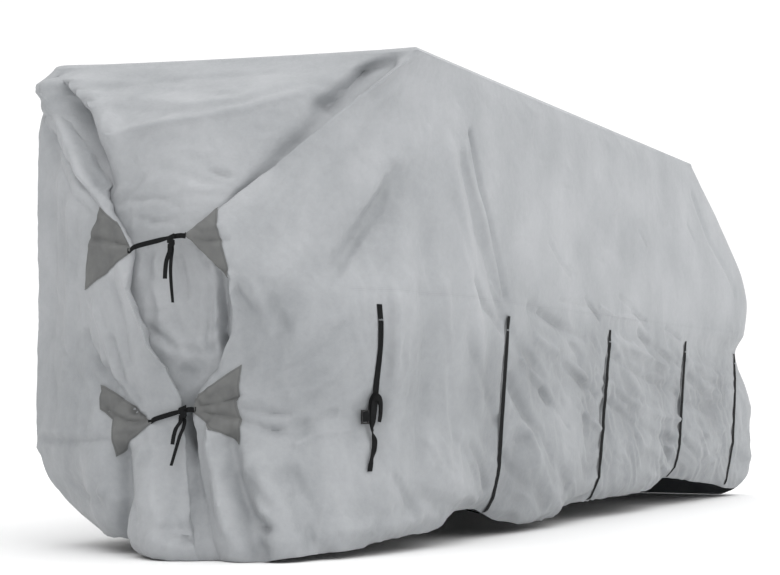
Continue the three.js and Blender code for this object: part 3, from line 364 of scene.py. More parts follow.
# Main folds: depth and spread, then a route of (out, across, z) along which the cloth stands out or falls in
mainFolds = [
    (-55, 130, [(40, 140, 2060), (390, 310, 1770), (520, 370, 1620), (710, 520, 1370), (760, 740, 1120)]),
    (30, 120, [(-60, 60, 2350), (330, 250, 2000), (600, 480, 1680), (780, 640, 1500)]),
    (-40, 90, [(-640, -30, 2300), (-800, -50, 1920), (-960, -50, 1750), (-1210, -50, 1410)]),
    (28, 90, [(-450, -10, 2350), (-600, -30, 1920), (-700, -50, 1500), (-900, -20, 900)]),
    (32, 85, [(-10, 120, 2000), (40, 90, 1450), (-10, 160, 760), (160, 160, 310)]),
    (-30, 85, [(-190, 30, 1900), (-200, 20, 1450), (-230, 60, 700), (-120, 90, 310)]),
    (-110, 75, [(810, 1500, 560), (870, 1430, 320), (850, 1500, 60)]),
    (40, 120, [(820, 1280, 560), (910, 1220, 320), (1000, 1110, 60)]),
    (45, 110, [(720, 1680, 520), (700, 1720, 320), (620, 1700, 120)]),
    (35, 80, [(770, 890, 600), (840, 780, 330), (930, 690, 60)]),
    (-75, 60, [(770, 800, 640), (830, 660, 330), (920, 540, 40)]),
    (40, 90, [(750, 610, 520), (810, 490, 250), (850, 410, 40)]),
    (-60, 70, [(680, 470, 440), (670, 350, 220), (650, 270, 40)]),
    (45, 90, [(420, 2130, 2790), (480, 1950, 2700), (590, 1730, 2460)]),
    (-45, 70, [(510, 2130, 2680), (560, 2010, 2520), (640, 1880, 2330)]),
    (35, 150, [(600, 1720, 2430), (490, 1170, 2570), (400, 960, 2620), (130, 410, 2760)]),
    (35, 70, [(800, 1290, 1180), (710, 1090, 1140), (780, 860, 1200)]),
    (28, 45, [(770, 970, 1640), (720, 960, 1240)]),
    (18, 110, [(560, 2060, 730), (700, 1770, 730)]),
    (75, 420, [(-1950, -20, 420), (-2450, -20, 420)]),
    (60, 420, [(-4000, -20, 420), (-4500, -20, 420)]),
    (50, 380, [(-5900, -40, 420), (-6300, -40, 420)]),
    (60, 330, [(-300, 60, 380), (-600, 60, 380)]),
    (150, 300, [(-7300, 20, 800), (-7400, 20, 250)]),
    (70, 420, [(-1700, 2370, 450), (-2500, 2370, 450)]),
    (60, 420, [(-4000, 2370, 450), (-4500, 2370, 450)]),
    (60, 420, [(-5800, 2370, 450), (-6400, 2370, 450)]),
    (-40, 160, [(-600, 2400, 2300), (-1300, 2400, 1400)]),
    (40, 180, [(-6300, 800, 2600), (-7350, 900, 1600), (-7450, 850, 200)]),
    (-45, 200, [(-6300, 1500, 2600), (-7350, 1500, 1600), (-7450, 1600, 200)]),
]

# Creases between the main folds, in the same form
creases = [
    # swag, its bright top and the ear
    (20, 35, [(660, 1680, 2430), (560, 1120, 2510), (460, 890, 2560), (300, 620, 2660)]),
    (-55, 50, [(470, 2160, 2760), (560, 2000, 2570), (620, 1870, 2370), (700, 1750, 2140)]),
    (-40, 80, [(470, 2080, 2700), (560, 1920, 2560), (640, 1780, 2330), (700, 1680, 2100)]),
    (36, 50, [(390, 2170, 2860), (490, 1980, 2730), (600, 1750, 2580), (650, 1640, 2400)]),
    (28, 40, [(450, 2270, 2770), (560, 2090, 2520), (700, 1850, 2200), (830, 1560, 1900)]),
    (-22, 45, [(430, 2310, 2640), (540, 2190, 2380), (690, 1950, 2080), (800, 1700, 1900)]),
    (-18, 50, [(730, 1430, 2150), (740, 1490, 2060), (750, 1630, 2000)]),
    (10, 30, [(190, 480, 2750), (290, 760, 2720), (420, 950, 2630), (500, 1190, 2600)]),
    (-9, 30, [(20, 180, 2860), (150, 440, 2780), (290, 690, 2700)]),
    (-12, 45, [(130, 510, 2820), (260, 1040, 2780), (390, 1580, 2760)]),
    (10, 30, [(500, 1710, 2680), (500, 1420, 2630), (510, 1210, 2600)]),
    (-8, 25, [(420, 1600, 2730), (430, 1210, 2670), (380, 900, 2660)]),
    (-10, 28, [(560, 1610, 2590), (580, 1390, 2550), (560, 1230, 2550)]),
    (10, 28, [(530, 1770, 2650), (540, 1640, 2620), (610, 1510, 2510)]),
    (8, 22, [(770, 1400, 1930), (760, 1330, 1980), (760, 1200, 1990)]),
    (-8, 22, [(780, 1320, 1880), (780, 1160, 1900)]),
    (10, 22, [(770, 1450, 1850), (760, 1440, 1960)]),
    # bundle that runs into the roof corner
    (-75, 50, [(10, 110, 2870), (50, 280, 2830), (200, 380, 2680), (270, 470, 2580)]),
    (34, 26, [(20, 70, 2860), (60, 180, 2810), (100, 240, 2750), (170, 290, 2640)]),
    (-26, 20, [(30, 80, 2830), (70, 180, 2770), (130, 250, 2680)]),
    (20, 30, [(30, 60, 2860), (130, 190, 2700), (300, 410, 2480), (500, 640, 2220)]),
    (-14, 50, [(-20, 40, 2780), (60, 120, 2600), (240, 280, 2340), (420, 460, 2050)]),
    # near side, from the roof corner down and back
    (16, 45, [(10, 110, 2270), (150, 190, 2100), (280, 280, 1920), (410, 370, 1710)]),
    (-26, 55, [(60, 130, 2200), (200, 230, 1920), (440, 330, 1600)]),
    (-12, 22, [(-50, 60, 2380), (110, 150, 2130), (240, 240, 1920)]),
    (-24, 32, [(-730, -20, 2510), (-850, -30, 2200), (-1050, -30, 1870), (-1250, -30, 1540)]),
    (12, 40, [(-640, -30, 2400), (-760, -30, 2180), (-960, -30, 1850)]),
    (-12, 40, [(-460, -30, 2070), (-650, -60, 1720), (-840, -60, 1430)]),
    (8, 30, [(50, 160, 2110), (110, 190, 1880)]),
    (7, 30, [(-240, 40, 2470), (-180, 50, 2210)]),
    (-6, 22, [(-2020, -50, 1940), (-2230, -50, 1820), (-2450, -50, 1740)]),
    (-5, 18, [(-4060, -40, 2200), (-4230, -40, 2100)]),
    (-7, 25, [(-2230, -50, 1560), (-2850, -50, 1550), (-3080, -50, 1480)]),
    (-8, 30, [(-3540, -50, 1660), (-3910, -50, 1570), (-4250, -50, 1430)]),
    (-20, 70, [(-1380, -40, 1300), (-1910, -20, 1010), (-2430, -20, 710)]),
    (-18, 60, [(-1650, -50, 1480), (-2230, -50, 1390), (-2670, -40, 1180)]),
    (22, 50, [(-1680, -10, 650), (-2060, -10, 320)]),
    (-20, 30, [(-1990, -20, 940), (-2260, -20, 800), (-2490, -20, 660), (-2530, -20, 550)]),
    (-22, 50, [(-3380, -10, 1030), (-3830, -10, 870), (-4490, -20, 590), (-5080, 30, 430)]),
    (16, 50, [(-3530, -40, 1200), (-4160, -10, 900)]),
    (-14, 50, [(-4040, -50, 1420), (-4430, -40, 1220), (-4930, -30, 1120)]),
    (12, 40, [(-3320, -40, 1290), (-4060, -40, 1250), (-4840, -30, 1160)]),
    (-14, 50, [(-5650, -30, 2640), (-5990, -80, 2270), (-6610, -140, 1860)]),
    (-6, 25, [(-5400, -50, 2360), (-5530, -70, 2250)]),
    (-14, 50, [(-6250, -40, 930), (-6670, -50, 800)]),
    (14, 55, [(100, 100, 1440), (70, 120, 990), (60, 140, 650)]),
    (-12, 55, [(-140, 50, 1510), (-220, 100, 880), (-160, 80, 470)]),
    (14, 55, [(-370, -10, 1530), (-440, 20, 990), (-510, 20, 640)]),
    (-16, 60, [(-670, -50, 1250), (-890, -30, 1000), (-1230, 20, 750)]),
    # near the hem
    (-22, 40, [(70, 120, 440), (-150, 90, 210)]),
    (-30, 60, [(-250, 50, 320), (-650, 50, 220)]),
    (14, 35, [(-280, 60, 640), (-470, 10, 400)]),
    (-16, 40, [(-560, 10, 640), (-900, 30, 400)]),
    (26, 60, [(-1650, 0, 660), (-1890, -20, 410), (-2480, 60, 100)]),
    (20, 60, [(470, 240, 160), (40, 130, 150), (-200, 90, 180)]),
    # drawn in by the straps
    (-18, 45, [(-1300, -30, 1330), (-1300, -10, 250)]),
    (-18, 45, [(-3300, -30, 1330), (-3300, -10, 250)]),
    (-18, 45, [(-5290, -30, 1330), (-5290, -10, 300)]),
    (-18, 45, [(-6900, -30, 1330), (-6900, -10, 200)]),
    (16, 40, [(-3450, -40, 800), (-3800, -30, 420)]),
    (-16, 35, [(-5420, -40, 1250), (-5900, -40, 1080), (-6400, -40, 1020)]),
    (14, 35, [(-5450, -40, 750), (-5950, -40, 470)]),
    (-14, 30, [(-5600, -40, 900), (-6200, -40, 600)]),
    # left lap
    (-20, 30, [(740, 1640, 1060), (740, 1590, 990), (760, 1440, 820)]),
    (-12, 30, [(690, 1780, 1040), (720, 1690, 930)]),
    (-18, 35, [(770, 1580, 1220), (760, 1510, 990), (770, 1380, 790)]),
    (-16, 35, [(820, 1550, 1550), (810, 1490, 1330), (790, 1460, 1100)]),
    (14, 35, [(840, 1480, 1620), (830, 1350, 1320), (800, 1230, 1100)]),
    (14, 60, [(470, 2290, 2640), (450, 2310, 2090), (450, 2300, 1480)]),
    (-12, 60, [(550, 2150, 2490), (550, 2150, 1950), (530, 2170, 1290)]),
    (12, 60, [(680, 1930, 2050), (640, 1960, 1460), (600, 2010, 990)]),
    (-12, 30, [(610, 2010, 1170), (620, 1970, 1110), (600, 2010, 1040)]),
    (-10, 30, [(400, 2290, 740), (560, 2060, 735), (700, 1800, 720)]),
    # between the side straps
    (20, 35, [(-1572, -31, 1147), (-2032, -19, 966), (-2490, -20, 684)]),
    (-36, 60, [(-1393, -13, 1006), (-1697, -6, 776), (-2094, -32, 485), (-2496, 12, 264)]),
    (26, 38, [(-1640, -2, 671), (-1812, -23, 493), (-2335, 6, 258)]),
    (-22, 45, [(-1358, 24, 527), (-1565, 20, 384), (-2143, 40, 146)]),
    (16, 35, [(-1769, -43, 1281), (-2234, -37, 1187), (-2842, -18, 1023)]),
    (-13, 28, [(-1857, -49, 1462), (-2206, -48, 1393), (-2770, -45, 1314)]),
    (-18, 36, [(-2234, -37, 1187), (-2721, -20, 1022), (-3121, -2, 923)]),
    (16, 32, [(-2547, -14, 895), (-3006, 14, 742), (-3267, 22, 675)]),
    (22, 36, [(-3333, -14, 1029), (-4032, -11, 845), (-4699, -9, 758), (-5242, 1, 725)]),
    (-34, 48, [(-3463, 2, 871), (-3939, -11, 708), (-4525, -16, 603), (-5170, 12, 548)]),
    (-20, 32, [(-3789, -2, 696), (-4187, -17, 525), (-4960, 44, 319)]),
    (18, 28, [(-4008, -17, 625), (-4562, -3, 417), (-5177, 63, 282)]),
    (-16, 36, [(-3352, -37, 1214), (-3990, -27, 1092), (-5196, -15, 933)]),
    (14, 36, [(-3414, -45, 1335), (-4133, -41, 1233), (-5150, -30, 1110)]),
    (-15, 28, [(-4022, -48, 1396), (-4404, -45, 1310), (-5132, -36, 1184)]),
    (-26, 50, [(-5414, -12, 844), (-5851, -30, 813), (-6577, -43, 859)]),
    (18, 36, [(-5485, -6, 663), (-5952, -31, 596), (-6652, -36, 634)]),
    (-22, 40, [(-5416, 7, 544), (-5890, 2, 350), (-6531, -17, 428)]),
    (-16, 36, [(-5467, -31, 1085), (-5953, -34, 936), (-6693, -47, 1005)]),
    (14, 32, [(-5330, -41, 1232), (-6231, -40, 1095), (-6766, -46, 1119)]),
    (-10, 22, [(-2761, -50, 1606), (-3076, -49, 1466)]),
    (8, 20, [(-3076, -50, 1557), (-3405, -50, 1494), (-3928, -50, 1510)]),
    (-10, 22, [(-3840, -50, 1554), (-4204, -50, 1500)]),
    (-12, 24, [(-4724, -54, 1464), (-5133, -53, 1391)]),
    # before the second side strap
    (-16, 36, [(-717, -59, 1599), (-884, -51, 1449), (-1212, -30, 1314)]),
    (15, 28, [(-1038, -39, 1596), (-1285, -27, 1434)]),
    (-14, 45, [(-390, -5, 1251), (-485, 25, 880), (-551, 7, 549)]),
    (12, 45, [(113, 110, 1510), (82, 124, 1026)]),
    (-30, 45, [(-231, 58, 310), (-459, 52, 212)]),
    (-12, 24, [(573, 493, 694), (503, 437, 745), (385, 348, 806)]),
    (12, 26, [(584, 476, 633), (470, 397, 693), (301, 286, 712)]),
    (-34, 45, [(705, 455, 335), (718, 379, 178), (703, 342, 98)]),
    (-12, 30, [(634, 496, 1061), (546, 370, 1144), (424, 260, 1290)]),
    (12, 40, [(572, 506, 878), (470, 374, 960), (325, 217, 1168)]),
    (-16, 40, [(-782, 7, 599), (-1017, 32, 445), (-1150, 62, 325)]),
    (16, 40, [(-546, 5, 439), (-789, 36, 318), (-1033, 76, 238)]),
    # swag, ear and upper patches
    (-12, 22, [(768, 1726, 1807), (818, 1571, 1779), (847, 1432, 1739)]),
    (8, 20, [(765, 1733, 1762), (821, 1568, 1733), (848, 1442, 1722)]),
    (9, 20, [(780, 1032, 1837), (827, 931, 1816), (792, 849, 1842)]),
    (-10, 20, [(854, 997, 1771), (841, 922, 1752), (804, 811, 1759)]),
    (-11, 22, [(749, 1468, 2019), (757, 1269, 2017), (762, 1138, 1956)]),
    (9, 20, [(727, 1119, 2077), (704, 986, 2054)]),
    (-13, 20, [(667, 988, 2167), (649, 905, 2138)]),
    (-22, 30, [(529, 2199, 2463), (643, 1988, 2245), (715, 1822, 2096), (760, 1701, 1983)]),
    (16, 22, [(448, 2334, 2758), (526, 2182, 2676), (540, 2101, 2591)]),
    (-12, 18, [(470, 2292, 2600), (539, 2124, 2583)]),
    (10, 26, [(716, 1644, 2068), (733, 1479, 2095), (717, 1426, 2186)]),
    (-8, 22, [(766, 1434, 1924), (781, 1285, 1880), (782, 1146, 1864)]),
    (-10, 22, [(832, 1410, 1690), (846, 1421, 1599)]),
    (9, 22, [(789, 1374, 1692), (772, 1405, 1576)]),
    (-9, 22, [(782, 1314, 1690), (763, 1357, 1566)]),
    (-12, 26, [(769, 1132, 1676), (742, 1116, 1569), (731, 1101, 1461)]),
    # left lap and lower patches
    (-22, 30, [(718, 1727, 1118), (729, 1657, 976), (748, 1547, 885)]),
    (16, 30, [(756, 1704, 1420), (758, 1541, 1015), (768, 1391, 806)]),
    (-14, 28, [(705, 1798, 1272), (721, 1712, 1098), (742, 1600, 976)]),
    (-14, 34, [(536, 2029, 410), (635, 1834, 316), (777, 1640, 307)]),
    (20, 30, [(777, 1640, 307), (764, 1543, 477), (742, 1512, 566)]),
    (-13, 20, [(735, 1638, 815), (764, 1487, 756), (783, 1345, 747)]),
    (11, 20, [(761, 1536, 706), (777, 1431, 707), (786, 1343, 732)]),
    (-10, 18, [(758, 1492, 835), (775, 1362, 776)]),
    (-12, 20, [(754, 996, 845), (749, 897, 855), (721, 767, 894)]),
    (10, 20, [(756, 983, 894), (755, 882, 943), (732, 773, 981)]),
    (-10, 20, [(752, 974, 806), (742, 866, 787), (717, 769, 768)]),
    (14, 22, [(714, 749, 875), (662, 634, 884), (596, 526, 904)]),
    (-13, 22, [(710, 751, 826), (654, 638, 807), (582, 533, 797)]),
    (-12, 24, [(714, 748, 749), (668, 630, 710), (600, 523, 691)]),
    (-30, 34, [(879, 519, 66), (834, 588, 117), (855, 500, 196)]),
    (-24, 30, [(997, 1042, 132), (955, 956, 113)]),
    (18, 22, [(995, 1077, 159), (968, 1004, 146), (940, 955, 140)]),
    (-12, 36, [(823, 1307, 649), (890, 1215, 457), (948, 1096, 270)]),
    (-10, 34, [(797, 1416, 500), (960, 1282, 218)]),
    (-26, 34, [(749, 748, 460), (811, 723, 349), (802, 629, 255), (851, 535, 213)]),
    (20, 32, [(752, 702, 500), (780, 675, 386), (834, 556, 278)]),
    (-14, 30, [(474, 2280, 655), (667, 1915, 641), (760, 1608, 645)]),
    # skirt under the lower tie
    (-45, 40, [(740, 1510, 530), (770, 1470, 300), (760, 1460, 110)]),
    (-70, 36, [(680, 1110, 760), (700, 1060, 570), (740, 990, 360), (770, 920, 210)]),
    (42, 36, [(760, 920, 710), (810, 900, 580), (850, 830, 370), (910, 750, 170)]),
    (12, 40, [(790, 1300, 710), (880, 1230, 490), (980, 1110, 220)]),
    (-10, 40, [(790, 1200, 710), (880, 1130, 430), (960, 1010, 170)]),
    (-20, 45, [(990, 1070, 170), (930, 960, 160)]),
    (-30, 35, [(750, 740, 460), (810, 700, 320), (810, 610, 220), (860, 520, 180)]),
    (22, 35, [(730, 730, 590), (780, 650, 340), (850, 520, 220)]),
    (24, 70, [(720, 750, 600), (780, 560, 420), (710, 420, 260), (630, 330, 110)]),
    # rays from the lower right patch
    (-10, 22, [(720, 760, 860), (680, 660, 880), (610, 550, 900)]),
    (10, 22, [(720, 760, 960), (700, 640, 1030), (650, 510, 1080)]),
    (-14, 26, [(730, 750, 1060), (710, 630, 1150), (680, 530, 1240)]),
    (14, 28, [(730, 770, 1060), (710, 630, 1200), (660, 520, 1340)]),
    (-12, 35, [(710, 750, 780), (660, 610, 700), (530, 470, 740)]),
    # gathers between the ties
    (-30, 26, [(770, 960, 1640), (750, 970, 1430), (750, 970, 1180)]),
    (26, 26, [(770, 910, 1610), (740, 900, 1430), (740, 890, 1180)]),
    (-32, 24, [(760, 860, 1570), (740, 850, 1370), (730, 850, 1180)]),
    (24, 26, [(830, 770, 1560), (790, 750, 1310), (730, 760, 1080)]),
    (-20, 30, [(820, 730, 1480), (780, 670, 1370), (720, 630, 1260)]),
    (16, 30, [(800, 640, 1500), (740, 590, 1350), (690, 560, 1200)]),
    (-14, 35, [(760, 560, 1440), (700, 500, 1280)]),
    (-22, 30, [(760, 1330, 1270), (750, 1170, 1170), (740, 980, 1140), (730, 850, 1210)]),
    (-14, 28, [(810, 1240, 1070), (710, 1090, 1020), (770, 900, 1040)]),
    (10, 30, [(750, 1320, 1530), (740, 1270, 1410), (730, 1150, 1440)]),
    (10, 30, [(770, 1290, 1650), (740, 1260, 1500), (750, 1270, 1330)]),
]

columnsOf = {"side": 18, "turn": 22, "tuck": 2, "swag": 10, "lap": 12, "farSide": 14, "slope": 12}
rightEdge = columnsOf["side"] + columnsOf["turn"]
leftEdge = rightEdge + 2 * columnsOf["tuck"] + columnsOf["swag"]
sideEnd = columnsOf["side"] + columnsOf["turn"] / 2
lapEnd = leftEdge + columnsOf["lap"]
farEnd = lapEnd + columnsOf["farSide"]
allRound = farEnd + columnsOf["slope"]
lastColumn = allRound - 1e-6


def read(table, lead, key, at, smooth=True):
    x, y = (np.array(table[row])[::-1] / 1000 for row in (lead, key))
    at = np.clip(at, x[0], x[-1])
    if not smooth:
        return np.interp(at, x, y)
    low = np.clip(np.searchsorted(x, at, side="right") - 1, 0, len(x) - 2)
    slope = np.diff(y) / np.diff(x)
    before, after = slope[:-1], slope[1:]
    total = np.where(before * after > 0, before + after, 1)
    inner = np.where(before * after > 0, 2 * before * after / total, 0)
    tangent = np.concatenate([slope[:1], inner, slope[-1:]])
    span = x[low + 1] - x[low]
    share = (at - x[low]) / span
    rise, fall, change = span * tangent[low], span * tangent[low + 1], y[low + 1] - y[low]
    return y[low] + share * (rise + share * (3 * change - 2 * rise - fall + share * (rise + fall - 2 * change)))


def easing(share):
    share = np.clip(share, 0, 1)
    return share * share * (3 - 2 * share)


# 0 up to start, then smoothly 1
def fade(value, start, over):
    return easing((value - start) / over)


def plan(out, across):
    return np.stack(np.broadcast_arrays(cover["cornerX"] - out, across - cover["width"] / 2), axis=-1)


def placeIn(table, z, out="out", across="across", smooth=True):
    return plan(read(table, "z", out, z, smooth), read(table, "z", across, z, smooth))


def bezier(points, share):
    order = len(points) - 1
    return sum(
        (math.comb(order, k) * (1 - share) ** (order - k) * share ** k)[:, None] * point
        for k, point in enumerate(points)
    )


# The long sides swell everywhere, and more towards the sloping end
farSwell = {"start": 4.3, "over": 2.4}


def swellAt(z, along):
    return read(sideSwell, "z", "all", z) + read(sideSwell, "z", "far", z) * fade(along, **farSwell)


def near(z, along):
    return plan(-along, -swellAt(z, along))


# Behind the edge of a lap the cloth turns back under it, so that the swag comes out from below
tuckBend = {"under": 0.15, "deep": 0.6}


def tucked(edge, handle, z, turning):
    back = handle - edge
    back /= np.linalg.norm(back, axis=1, keepdims=True)
    inward = turning * np.stack([-back[:, 1], back[:, 0]], axis=1)
    under, deep = (read(tuck, "z", key, z, smooth=False)[:, None] for key in ("under", "deep"))
    end = edge + back * under + inward * deep
    bend = edge + back * tuckBend["under"] * under + inward * tuckBend["deep"] * deep
    return end, 2 * bend - (edge + end) / 2


# The columns of the long sides are packed towards the gathered end by these powers
packed = {"side": 0.85, "farSide": 1.15}


# Points of the level section at heights z, by column: column and z are lists of the same length
def section(column, z):
    points = np.zeros((len(column), 2))
    bounds = np.cumsum([0] + [columnsOf[key] for key in ("side", "turn", "tuck", "swag", "tuck", "lap", "farSide")])
    part = np.clip(np.searchsorted(bounds, column, side="right") - 1, 0, 7)

    def fill(which, count, make):
        chosen = part == which
        if chosen.any():
            points[chosen] = make((column[chosen] - bounds[which]) / count, z[chosen])

    corner = lambda z: read(slopingEnd, "z", "corner", z)
    right = lambda z: placeIn(rightLapEdge, z, smooth=False)
    left = lambda z: placeIn(leftLapEdge, z, smooth=False)
    rightHandle = lambda z: placeIn(nearTurn, z, "lapOut", "lapAcross")
    leftHandle = lambda z: placeIn(farCorner, z, "edgeOut", "edgeAcross")
    rightTuck = lambda z: tucked(right(z), rightHandle(z), z, 1)
    leftTuck = lambda z: tucked(left(z), leftHandle(z), z, -1)

    def side(share, z):
        along = corner(z) + (cover["sideStart"] - corner(z)) * share ** packed["side"]
        return near(z, along)

    def turn(share, z):
        start = np.full(len(z), cover["sideStart"])
        sideOut = plan(read(nearTurn, "z", "sideOut", z), -swellAt(z, 0 * z))
        return bezier([near(z, start), sideOut, rightHandle(z), right(z)], share)

    def swag(share, z):
        first, last = rightTuck(z)[0], leftTuck(z)[0]
        return bezier([first, 2 * placeIn(swagMiddle, z) - (first + last) / 2, last], share)

    def rightFold(share, z):
        end, bend = rightTuck(z)
        return bezier([right(z), bend, end], share)

    def leftFold(share, z):
        end, bend = leftTuck(z)
        return bezier([end, bend, left(z)], share)

    def lap(share, z):
        lapHandle = placeIn(farCorner, z, "lapOut", "lapAcross")
        return bezier([left(z), leftHandle(z), lapHandle, placeIn(farCorner, z)], share)

    def farSide(share, z):
        out, across = read(farCorner, "z", "out", z), read(farCorner, "z", "across", z)
        along = -out + (corner(z) + out) * share ** packed["farSide"]
        swelling = easing((along + out) / (1.2 + out))
        return plan(-along, across + (cover["width"] + swellAt(z, along) - across) * swelling)

    def slope(share, z):
        angle = (0.5 - share) * math.pi
        boxy = lambda value: np.sign(value) * np.abs(value) ** 0.5
        half = cover["width"] / 2 + swellAt(z, corner(z))
        along = corner(z) + read(slopingEnd, "z", "reach", z) * boxy(np.cos(angle))
        return np.stack([cover["cornerX"] + along, half * boxy(np.sin(angle))], axis=1)

    makers = [("side", side), ("turn", turn), ("tuck", rightFold), ("swag", swag), ("tuck", leftFold), ("lap", lap),
              ("farSide", farSide), ("slope", slope)]
    for which, (key, make) in enumerate(makers):
        fill(which, columnsOf[key], make)
    return points


# The hem passes from the gathered end's height to the side's, and lies on the ground at the sloping end
hemRun = {"start": -0.35, "nearSettled": -0.2, "farSettled": 1.0, "groundFrom": 7.10, "groundIn": 0.05, "over": 0.2}


def hemHeight(point):
    along, across = point[:, 0] - cover["cornerX"], point[:, 1] + cover["width"] / 2
    side, end = read(sideHem, "along", "z", along), read(endHem, "across", "z", across)
    settled = np.where(across > cover["width"] / 2, hemRun["farSettled"], hemRun["nearSettled"])
    hem = end + (side - end) * fade(along, hemRun["start"], settled - hemRun["start"])
    grounded = fade(along, hemRun["groundFrom"], hemRun["over"])
    return hem * (1 - grounded * fade(across, hemRun["groundIn"], hemRun["over"]))


# The nearest point of the roof's middle line, which stops short of both ends
def roofMiddle(point):
    inset = 1.15
    x = np.clip(point[:, 0], cover["cornerX"] + inset, cover["cornerX"] + cover["roofLength"] - inset)
    return np.stack([x, 0 * x], axis=1)


# How far points are from a route
def away(point, route):
    nearest = np.full(len(point), np.inf)
    for start, end in zip(route[:-1], route[1:]):
        step = end - start
        share = np.clip((point - start) @ step / (step @ step), 0, 1)
        nearest = np.minimum(nearest, np.linalg.norm(point - start - share[:, None] * step, axis=1))
    return nearest


def routePoints(route):
    out, across, z = np.array(route, float).T
    return np.column_stack([plan(out, across), z])


# Creases are drawn deeper and narrower than their table says
creased = {"depth": 1.5, "spread": 0.88}
allFolds = [(depth / 1000, spread / 1000, routePoints(np.array(route) / 1000)) for depth, spread, route in mainFolds]
allFolds += [(creased["depth"] * (depth / 1000), creased["spread"] * (spread / 1000),
              routePoints(np.array(route) / 1000)) for depth, spread, route in creases]


def foldPush(point):
    push = np.zeros(len(point))
    for depth, spread, route in allFolds:
        reach = 3 * spread
        close = ((point > route.min(0) - reach) & (point < route.max(0) + reach)).all(1)
        if close.any():
            push[close] += depth * np.exp(-(away(point[close], route) / spread) ** 2)
    return push


# The roof's edge, where the tucks are drawn out flat, moved in towards the middle of the roof
def roofEdge(column, inward):
    top = np.full(len(column), cover["roofHeight"])
    points = section(column, top)
    for start in (rightEdge, leftEdge - 3):
        inside = (column > start) & (column < start + 3)
        if inside.any():
            first, last = (section(np.full(1, float(at)), top[:1]) for at in (start, start + 3))
            points[inside] = first + (last - first) * ((column[inside] - start) / 3)[:, None]
    middle = roofMiddle(points)
    reach = middle - points
    return points + reach * (inward / np.linalg.norm(reach, axis=1, keepdims=True))


# Beside the edge of the right lap the swag rolls in before it goes under
swagRoll = {"column": rightEdge + 2.7, "spread": 0.55, "depth": 0.045, "low": 1.80, "high": 2.84, "fade": 0.25}
seamIn = 0.006  # the sides lean in this far where they meet the roof


# The face of the cloth at columns and levels of the same length. A level is a height, but for the rows
# below freeHeight, which spread out to meet the hem.
def clothPoint(column, level):
    column, level = np.asarray(column, float), np.asarray(level, float)
    hem = hemHeight(section(column, 0 * level))
    lift = np.clip(1 - level / cover["freeHeight"], 0, None) * hem
    point = np.column_stack([section(column, np.minimum(level, cover["eaves"])), level + lift])
    outward = point[:, :2] - roofMiddle(point)
    outward /= np.linalg.norm(outward, axis=1, keepdims=True)
    push = foldPush(point) - cover["hemCurl"] * np.clip(1 - (point[:, 2] - hem) / cover["curlHeight"], 0, 1) ** 2
    rising = fade(level, cover["eaves"], cover["roofSeam"] - cover["eaves"])
    point[:, :2] += outward * (push * (1 - rising))[:, None]
    beside = np.exp(-((column - swagRoll["column"]) / swagRoll["spread"]) ** 2)
    reach = fade(level, swagRoll["low"], swagRoll["fade"]) * easing((swagRoll["high"] - level) / swagRoll["fade"])
    point[:, :2] -= outward * (swagRoll["depth"] * beside * reach * (column > rightEdge + 1))[:, None]
    turned = ((level - cover["eaves"]) / (cover["roofSeam"] - cover["eaves"])).clip(0, 1)
    point[:, :2] += (roofEdge(column, seamIn) - point[:, :2]) * turned[:, None]
    return point


def clothFace(column, level):
    aside, above = 0.02, 0.004
    here = clothPoint(column, level)
    after, before = np.minimum(column + aside, lastColumn), np.maximum(column - aside, 0)
    along = clothPoint(after, level) - clothPoint(before, level)
    up = clothPoint(column, level + above) - clothPoint(column, np.maximum(level - above, 0))
    normal = np.cross(up, along)
    normal /= np.linalg.norm(normal, axis=1, keepdims=True) + 1e-12
    return here, normal


# Where a line down the cloth crosses a height: the column between two others whose point lies at value
# along a level direction, and its level
def columnWhere(direction, value, z, first, last):
    low, high = np.full(len(z), float(first)), np.full(len(z), float(last))

    def levelOf(column):
        hem = hemHeight(section(column, 0 * z))
        return np.where(z < cover["freeHeight"], (z - hem) / (1 - hem / cover["freeHeight"]), z)

    def measure(column):
        return clothPoint(column, np.maximum(levelOf(column), 0))[:, :2] @ np.array(direction)

    rising = measure(high) > measure(low)
    for _ in range(16):
        middle = (low + high) / 2
        above = (measure(middle) > value) == rising
        high = np.where(above, middle, high)
        low = np.where(above, low, middle)
    middle = (low + high) / 2
    return middle, np.maximum(levelOf(middle), 0)


# Distance along a run of points
def lengths(points):
    return np.concatenate([[0], np.cumsum(np.linalg.norm(np.diff(points, axis=0), axis=1))])


def meshFrom(name, bm):
    mesh = bpy.data.meshes.new(name)
    bm.to_mesh(mesh)
    bm.free()
    return mesh


def spotsOf(mesh):
    flat = np.empty(len(mesh.vertices) * 3)
    mesh.vertices.foreach_get("co", flat)
    return flat.reshape(-1, 3)


# Meshes: a grid from its operator, whose points are then laid on the cloth
def gridPiece(name, points, edge=None, fold=None):
    rows, columns = points.shape[:2]
    bm = bmesh.new()
    bmesh.ops.create_grid(bm, x_segments=columns - 1, y_segments=rows - 1, size=1, calc_uvs=False)
    mesh = meshFrom(name, bm)
    spot = spotsOf(mesh)
    i = np.rint((spot[:, 0] + 1) / 2 * (columns - 1)).astype(int)
    j = np.rint((spot[:, 1] + 1) / 2 * (rows - 1)).astype(int)
    mesh.vertices.foreach_set("co", (points[j, i] + shift).ravel())
    across, up = lengths(points[rows // 2]), lengths(points[:, columns // 2])
    addMap(mesh, np.column_stack([across[i], up[j]]))
    # An edge distance for the sewing and a painted shading, when given, go on the points
    for key, values in (("edge", edge), ("fold", fold)):
        if values is not None:
            mesh.attributes.new(key, "FLOAT", "POINT").data.foreach_set("value", values[j, i].astype(np.float32))
    return placed(name, mesh)


# A flat map in metres of cloth, for the patterns that follow it
def addMap(mesh, spots):
    corner = np.empty(len(mesh.loops), np.int32)
    mesh.loops.foreach_get("vertex_index", corner)
    mesh.uv_layers.new(name="cut").data.foreach_set("uv", spots[corner].astype(np.float32).ravel())


